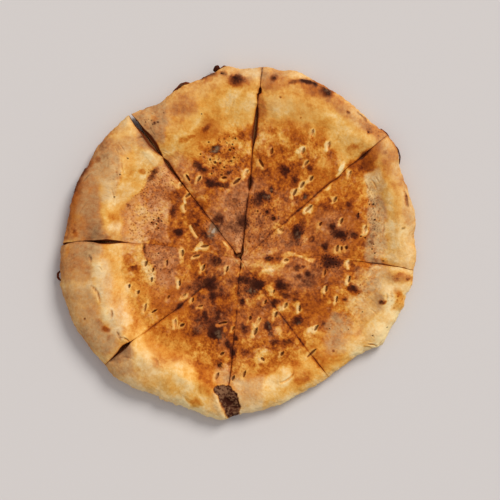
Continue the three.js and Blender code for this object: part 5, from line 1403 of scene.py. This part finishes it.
# Baked wheat crust: matt, dry, brushed with a little oil, mottled from cream to black.
crustColours = (
    (0.0, "F4D698"), (0.12, "EFC480"), (0.25, "E7AE58"), (0.37, "DC983F"), (0.48, "CB7D2A"),
    (0.58, "B96218"), (0.68, "A04E14"), (0.78, "853C11"), (0.88, "66290E"), (1.0, "3E1709"),
)
crustFinish = {
    # flour on the rim and on the middle, from pale crust to dark crust
    "beigeFlour": ((0.15, "E8C896"), (0.45, "CEA36D"), (0.65, "B98F5E"), (1.0, "7E5B3D")),
    "pinkFlour": ((0.15, "E8C090"), (0.45, "D29462"), (0.6, "C07C4C"), (1.0, "7C4628")),
    "flourGrain": (0.8, 0.6),    # how much the grain shows in the flour, and the least of the flour
    "ashes": ((0.65, "876A4C"), (1.0, "AC957E")),
    # the crumb is a browner tan than fresh crumb, partly painted shade for the narrow cuts
    "charred": "1E0D08", "charredBrown": "451C0E", "crumb": "D2A468", "crumbShade": "A86C3C",
    "uneven": 0.16,              # how far the grain shifts the baked colour
    "roughness": 0.66, "ior": 1.45, "specular": 0.06,
    "grain": 0.9, "fineGrain": 0.6, "bump": 0.18,     # millimetres
    "grainDetail": 2, "fineDetail": 1, "bumpStrength": 0.6,
}


def crustMaterial():
    material = bpy.data.materials.new("baked_wheat_crust")
    material.use_nodes = True
    tree = material.node_tree
    tree.nodes.clear()
    finish = crustFinish
    place = addNode(tree, "ShaderNodeTexCoord").outputs["Object"]
    paint = {name: addNode(tree, "ShaderNodeAttribute", attribute_name=name).outputs["Fac"]
             for name in ("bake", "char", "flour", "ash", "crumb", "beige")}
    grain = addNode(tree, "ShaderNodeTexNoise",
                    {"Scale": 1 / (finish["grain"] * mm), "Detail": finish["grainDetail"]},
                    {"Vector": place}).outputs["Fac"]
    fine = addNode(tree, "ShaderNodeTexNoise",
                   {"Scale": 1 / (finish["fineGrain"] * mm), "Detail": finish["fineDetail"]},
                   {"Vector": place}).outputs["Fac"]
    # the baked colour, and the flour on it
    uneven = addNode(tree, "ShaderNodeMath", {1: finish["uneven"]}, {0: grain, 2: paint["bake"]},
                     operation="MULTIPLY_ADD")
    baked = addNode(tree, "ShaderNodeMath", {1: finish["uneven"] / 2}, {0: uneven.outputs[0]},
                    operation="SUBTRACT")
    ramp, beige, pink = (addRamp(tree, colours, baked.outputs[0])
                         for colours in (crustColours, finish["beigeFlour"], finish["pinkFlour"]))
    flourTone = addNode(tree, "ShaderNodeMix", {}, {"Factor": paint["beige"], "A": pink, "B": beige},
                        data_type="RGBA")
    grainShare, leastFlour = finish["flourGrain"]
    dusty = addNode(tree, "ShaderNodeMath", {1: grainShare, 2: leastFlour}, {0: fine},
                    operation="MULTIPLY_ADD")
    dustier = addNode(tree, "ShaderNodeMath", {}, {0: dusty.outputs[0], 1: paint["flour"]},
                      operation="MULTIPLY", use_clamp=True)
    floured = addNode(tree, "ShaderNodeMix", {},
                      {"Factor": dustier.outputs[0], "A": ramp, "B": flourTone.outputs["Result"]},
                      data_type="RGBA")
    # what is burnt, the ash on it, and the crumb
    coal = addNode(tree, "ShaderNodeMix",
                   {"A": linearOf(finish["charred"]), "B": linearOf(finish["charredBrown"])},
                   {"Factor": grain}, data_type="RGBA")
    charred = addNode(tree, "ShaderNodeMix", {},
                      {"Factor": paint["char"], "A": floured.outputs["Result"], "B": coal.outputs["Result"]},
                      data_type="RGBA")
    ashTone = addRamp(tree, finish["ashes"], paint["ash"])
    ashen = addNode(tree, "ShaderNodeMix", {},
                    {"Factor": paint["ash"], "A": charred.outputs["Result"], "B": ashTone}, data_type="RGBA")
    soft = addNode(tree, "ShaderNodeMix",
                   {"A": linearOf(finish["crumb"]), "B": linearOf(finish["crumbShade"])},
                   {"Factor": grain}, data_type="RGBA")
    colour = addNode(tree, "ShaderNodeMix", {},
                     {"Factor": paint["crumb"], "A": ashen.outputs["Result"], "B": soft.outputs["Result"]},
                     data_type="RGBA")
    bump = addNode(tree, "ShaderNodeBump",
                   {"Strength": finish["bumpStrength"], "Distance": finish["bump"] * mm}, {"Height": fine})
    shader = addNode(tree, "ShaderNodeBsdfPrincipled",
                     {"Roughness": finish["roughness"], "IOR": finish["ior"],
                      "Specular IOR Level": finish["specular"]},
                     {"Base Color": colour.outputs["Result"], "Normal": bump.outputs["Normal"]})
    addNode(tree, "ShaderNodeOutputMaterial", links={"Surface": shader.outputs["BSDF"]})
    return material


bpy.ops.object.select_all(action="DESELECT")
print("wedge block")
block = wedgeBlock()
crustFinished = crustMaterial()
for n, sliceName in enumerate(sliceNames):
    print("slice", sliceName)
    piece = makeSlice(block, n)
    piece.data.materials.append(crustFinished)
    bpy.ops.object.select_all(action="DESELECT")
    piece.select_set(True)
    bpy.context.view_layer.objects.active = piece
    bpy.ops.object.shade_smooth()
    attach(piece, "root")
    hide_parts("slice_" + sliceName)
bpy.data.objects.remove(block)

print("burnt flakes")
pieces = [makeFlake(*each) for each in flakes]
bpy.ops.object.select_all(action="DESELECT")
for piece in pieces:
    piece.select_set(True)
bpy.context.view_layer.objects.active = pieces[0]
bpy.ops.object.join()
burntFlakes = bpy.context.object
burntFlakes.name = burntFlakes.data.name = "burnt_flakes"
burntFlakes.data.materials.append(crustFinished)
bpy.ops.object.shade_smooth()
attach(burntFlakes, "root")

# The floor, the lights and the camera.
studio = {
    "floor": "D3CCC6", "floorDrop": 0.1, "floorSize": 6, "floorRoughness": 0.6, "floorSpecular": 0.2,
    "sunStrength": 2.4, "sunAround": 54, "sunUp": 42, "sunSize": 26, "fill": 0.54, "fillColour": "F4F4FA",
    "frameWidth": 357.5, "frameMiddle": (8.6, -5.6), "cameraUp": 1.6, "lookHeight": 12, "farthest": 20,
}
print("floor, lights and camera")
bpy.ops.mesh.primitive_plane_add(size=studio["floorSize"], location=(0, 0, -studio["floorDrop"] * mm))
floor = bpy.context.object
floor.name = "floor"
floorMaterial = bpy.data.materials.new("matt_pale_table")
floorMaterial.use_nodes = True
floorShader = floorMaterial.node_tree.nodes["Principled BSDF"]
floorShader.inputs["Base Color"].default_value = linearOf(studio["floor"])
floorShader.inputs["Roughness"].default_value = studio["floorRoughness"]
floorShader.inputs["Specular IOR Level"].default_value = studio["floorSpecular"]
floor.data.materials.append(floorMaterial)

bpy.ops.object.light_add(type="SUN")
sun = bpy.context.object
sun.data.energy = studio["sunStrength"]
sun.data.angle = studio["sunSize"] * degree
sun.rotation_euler = ((90 - studio["sunUp"]) * degree, 0, (studio["sunAround"] + 90) * degree)
world = bpy.data.worlds.new("studio")
world.use_nodes = True
bpy.context.scene.world = world
background = world.node_tree.nodes["Background"]
background.inputs["Color"].default_value = linearOf(studio["fillColour"])
background.inputs["Strength"].default_value = studio["fill"]

frameX, frameY = studio["frameMiddle"]
bpy.ops.object.camera_add(location=(frameX * mm, frameY * mm, studio["cameraUp"]), rotation=(0, 0, 0))
camera = bpy.context.object
away = studio["cameraUp"] - studio["lookHeight"] * mm
camera.data.lens = camera.data.sensor_width * away / (studio["frameWidth"] * mm)
camera.data.clip_end = studio["farthest"]
bpy.context.scene.camera = camera
bpy.context.scene.view_settings.view_transform = "Standard"
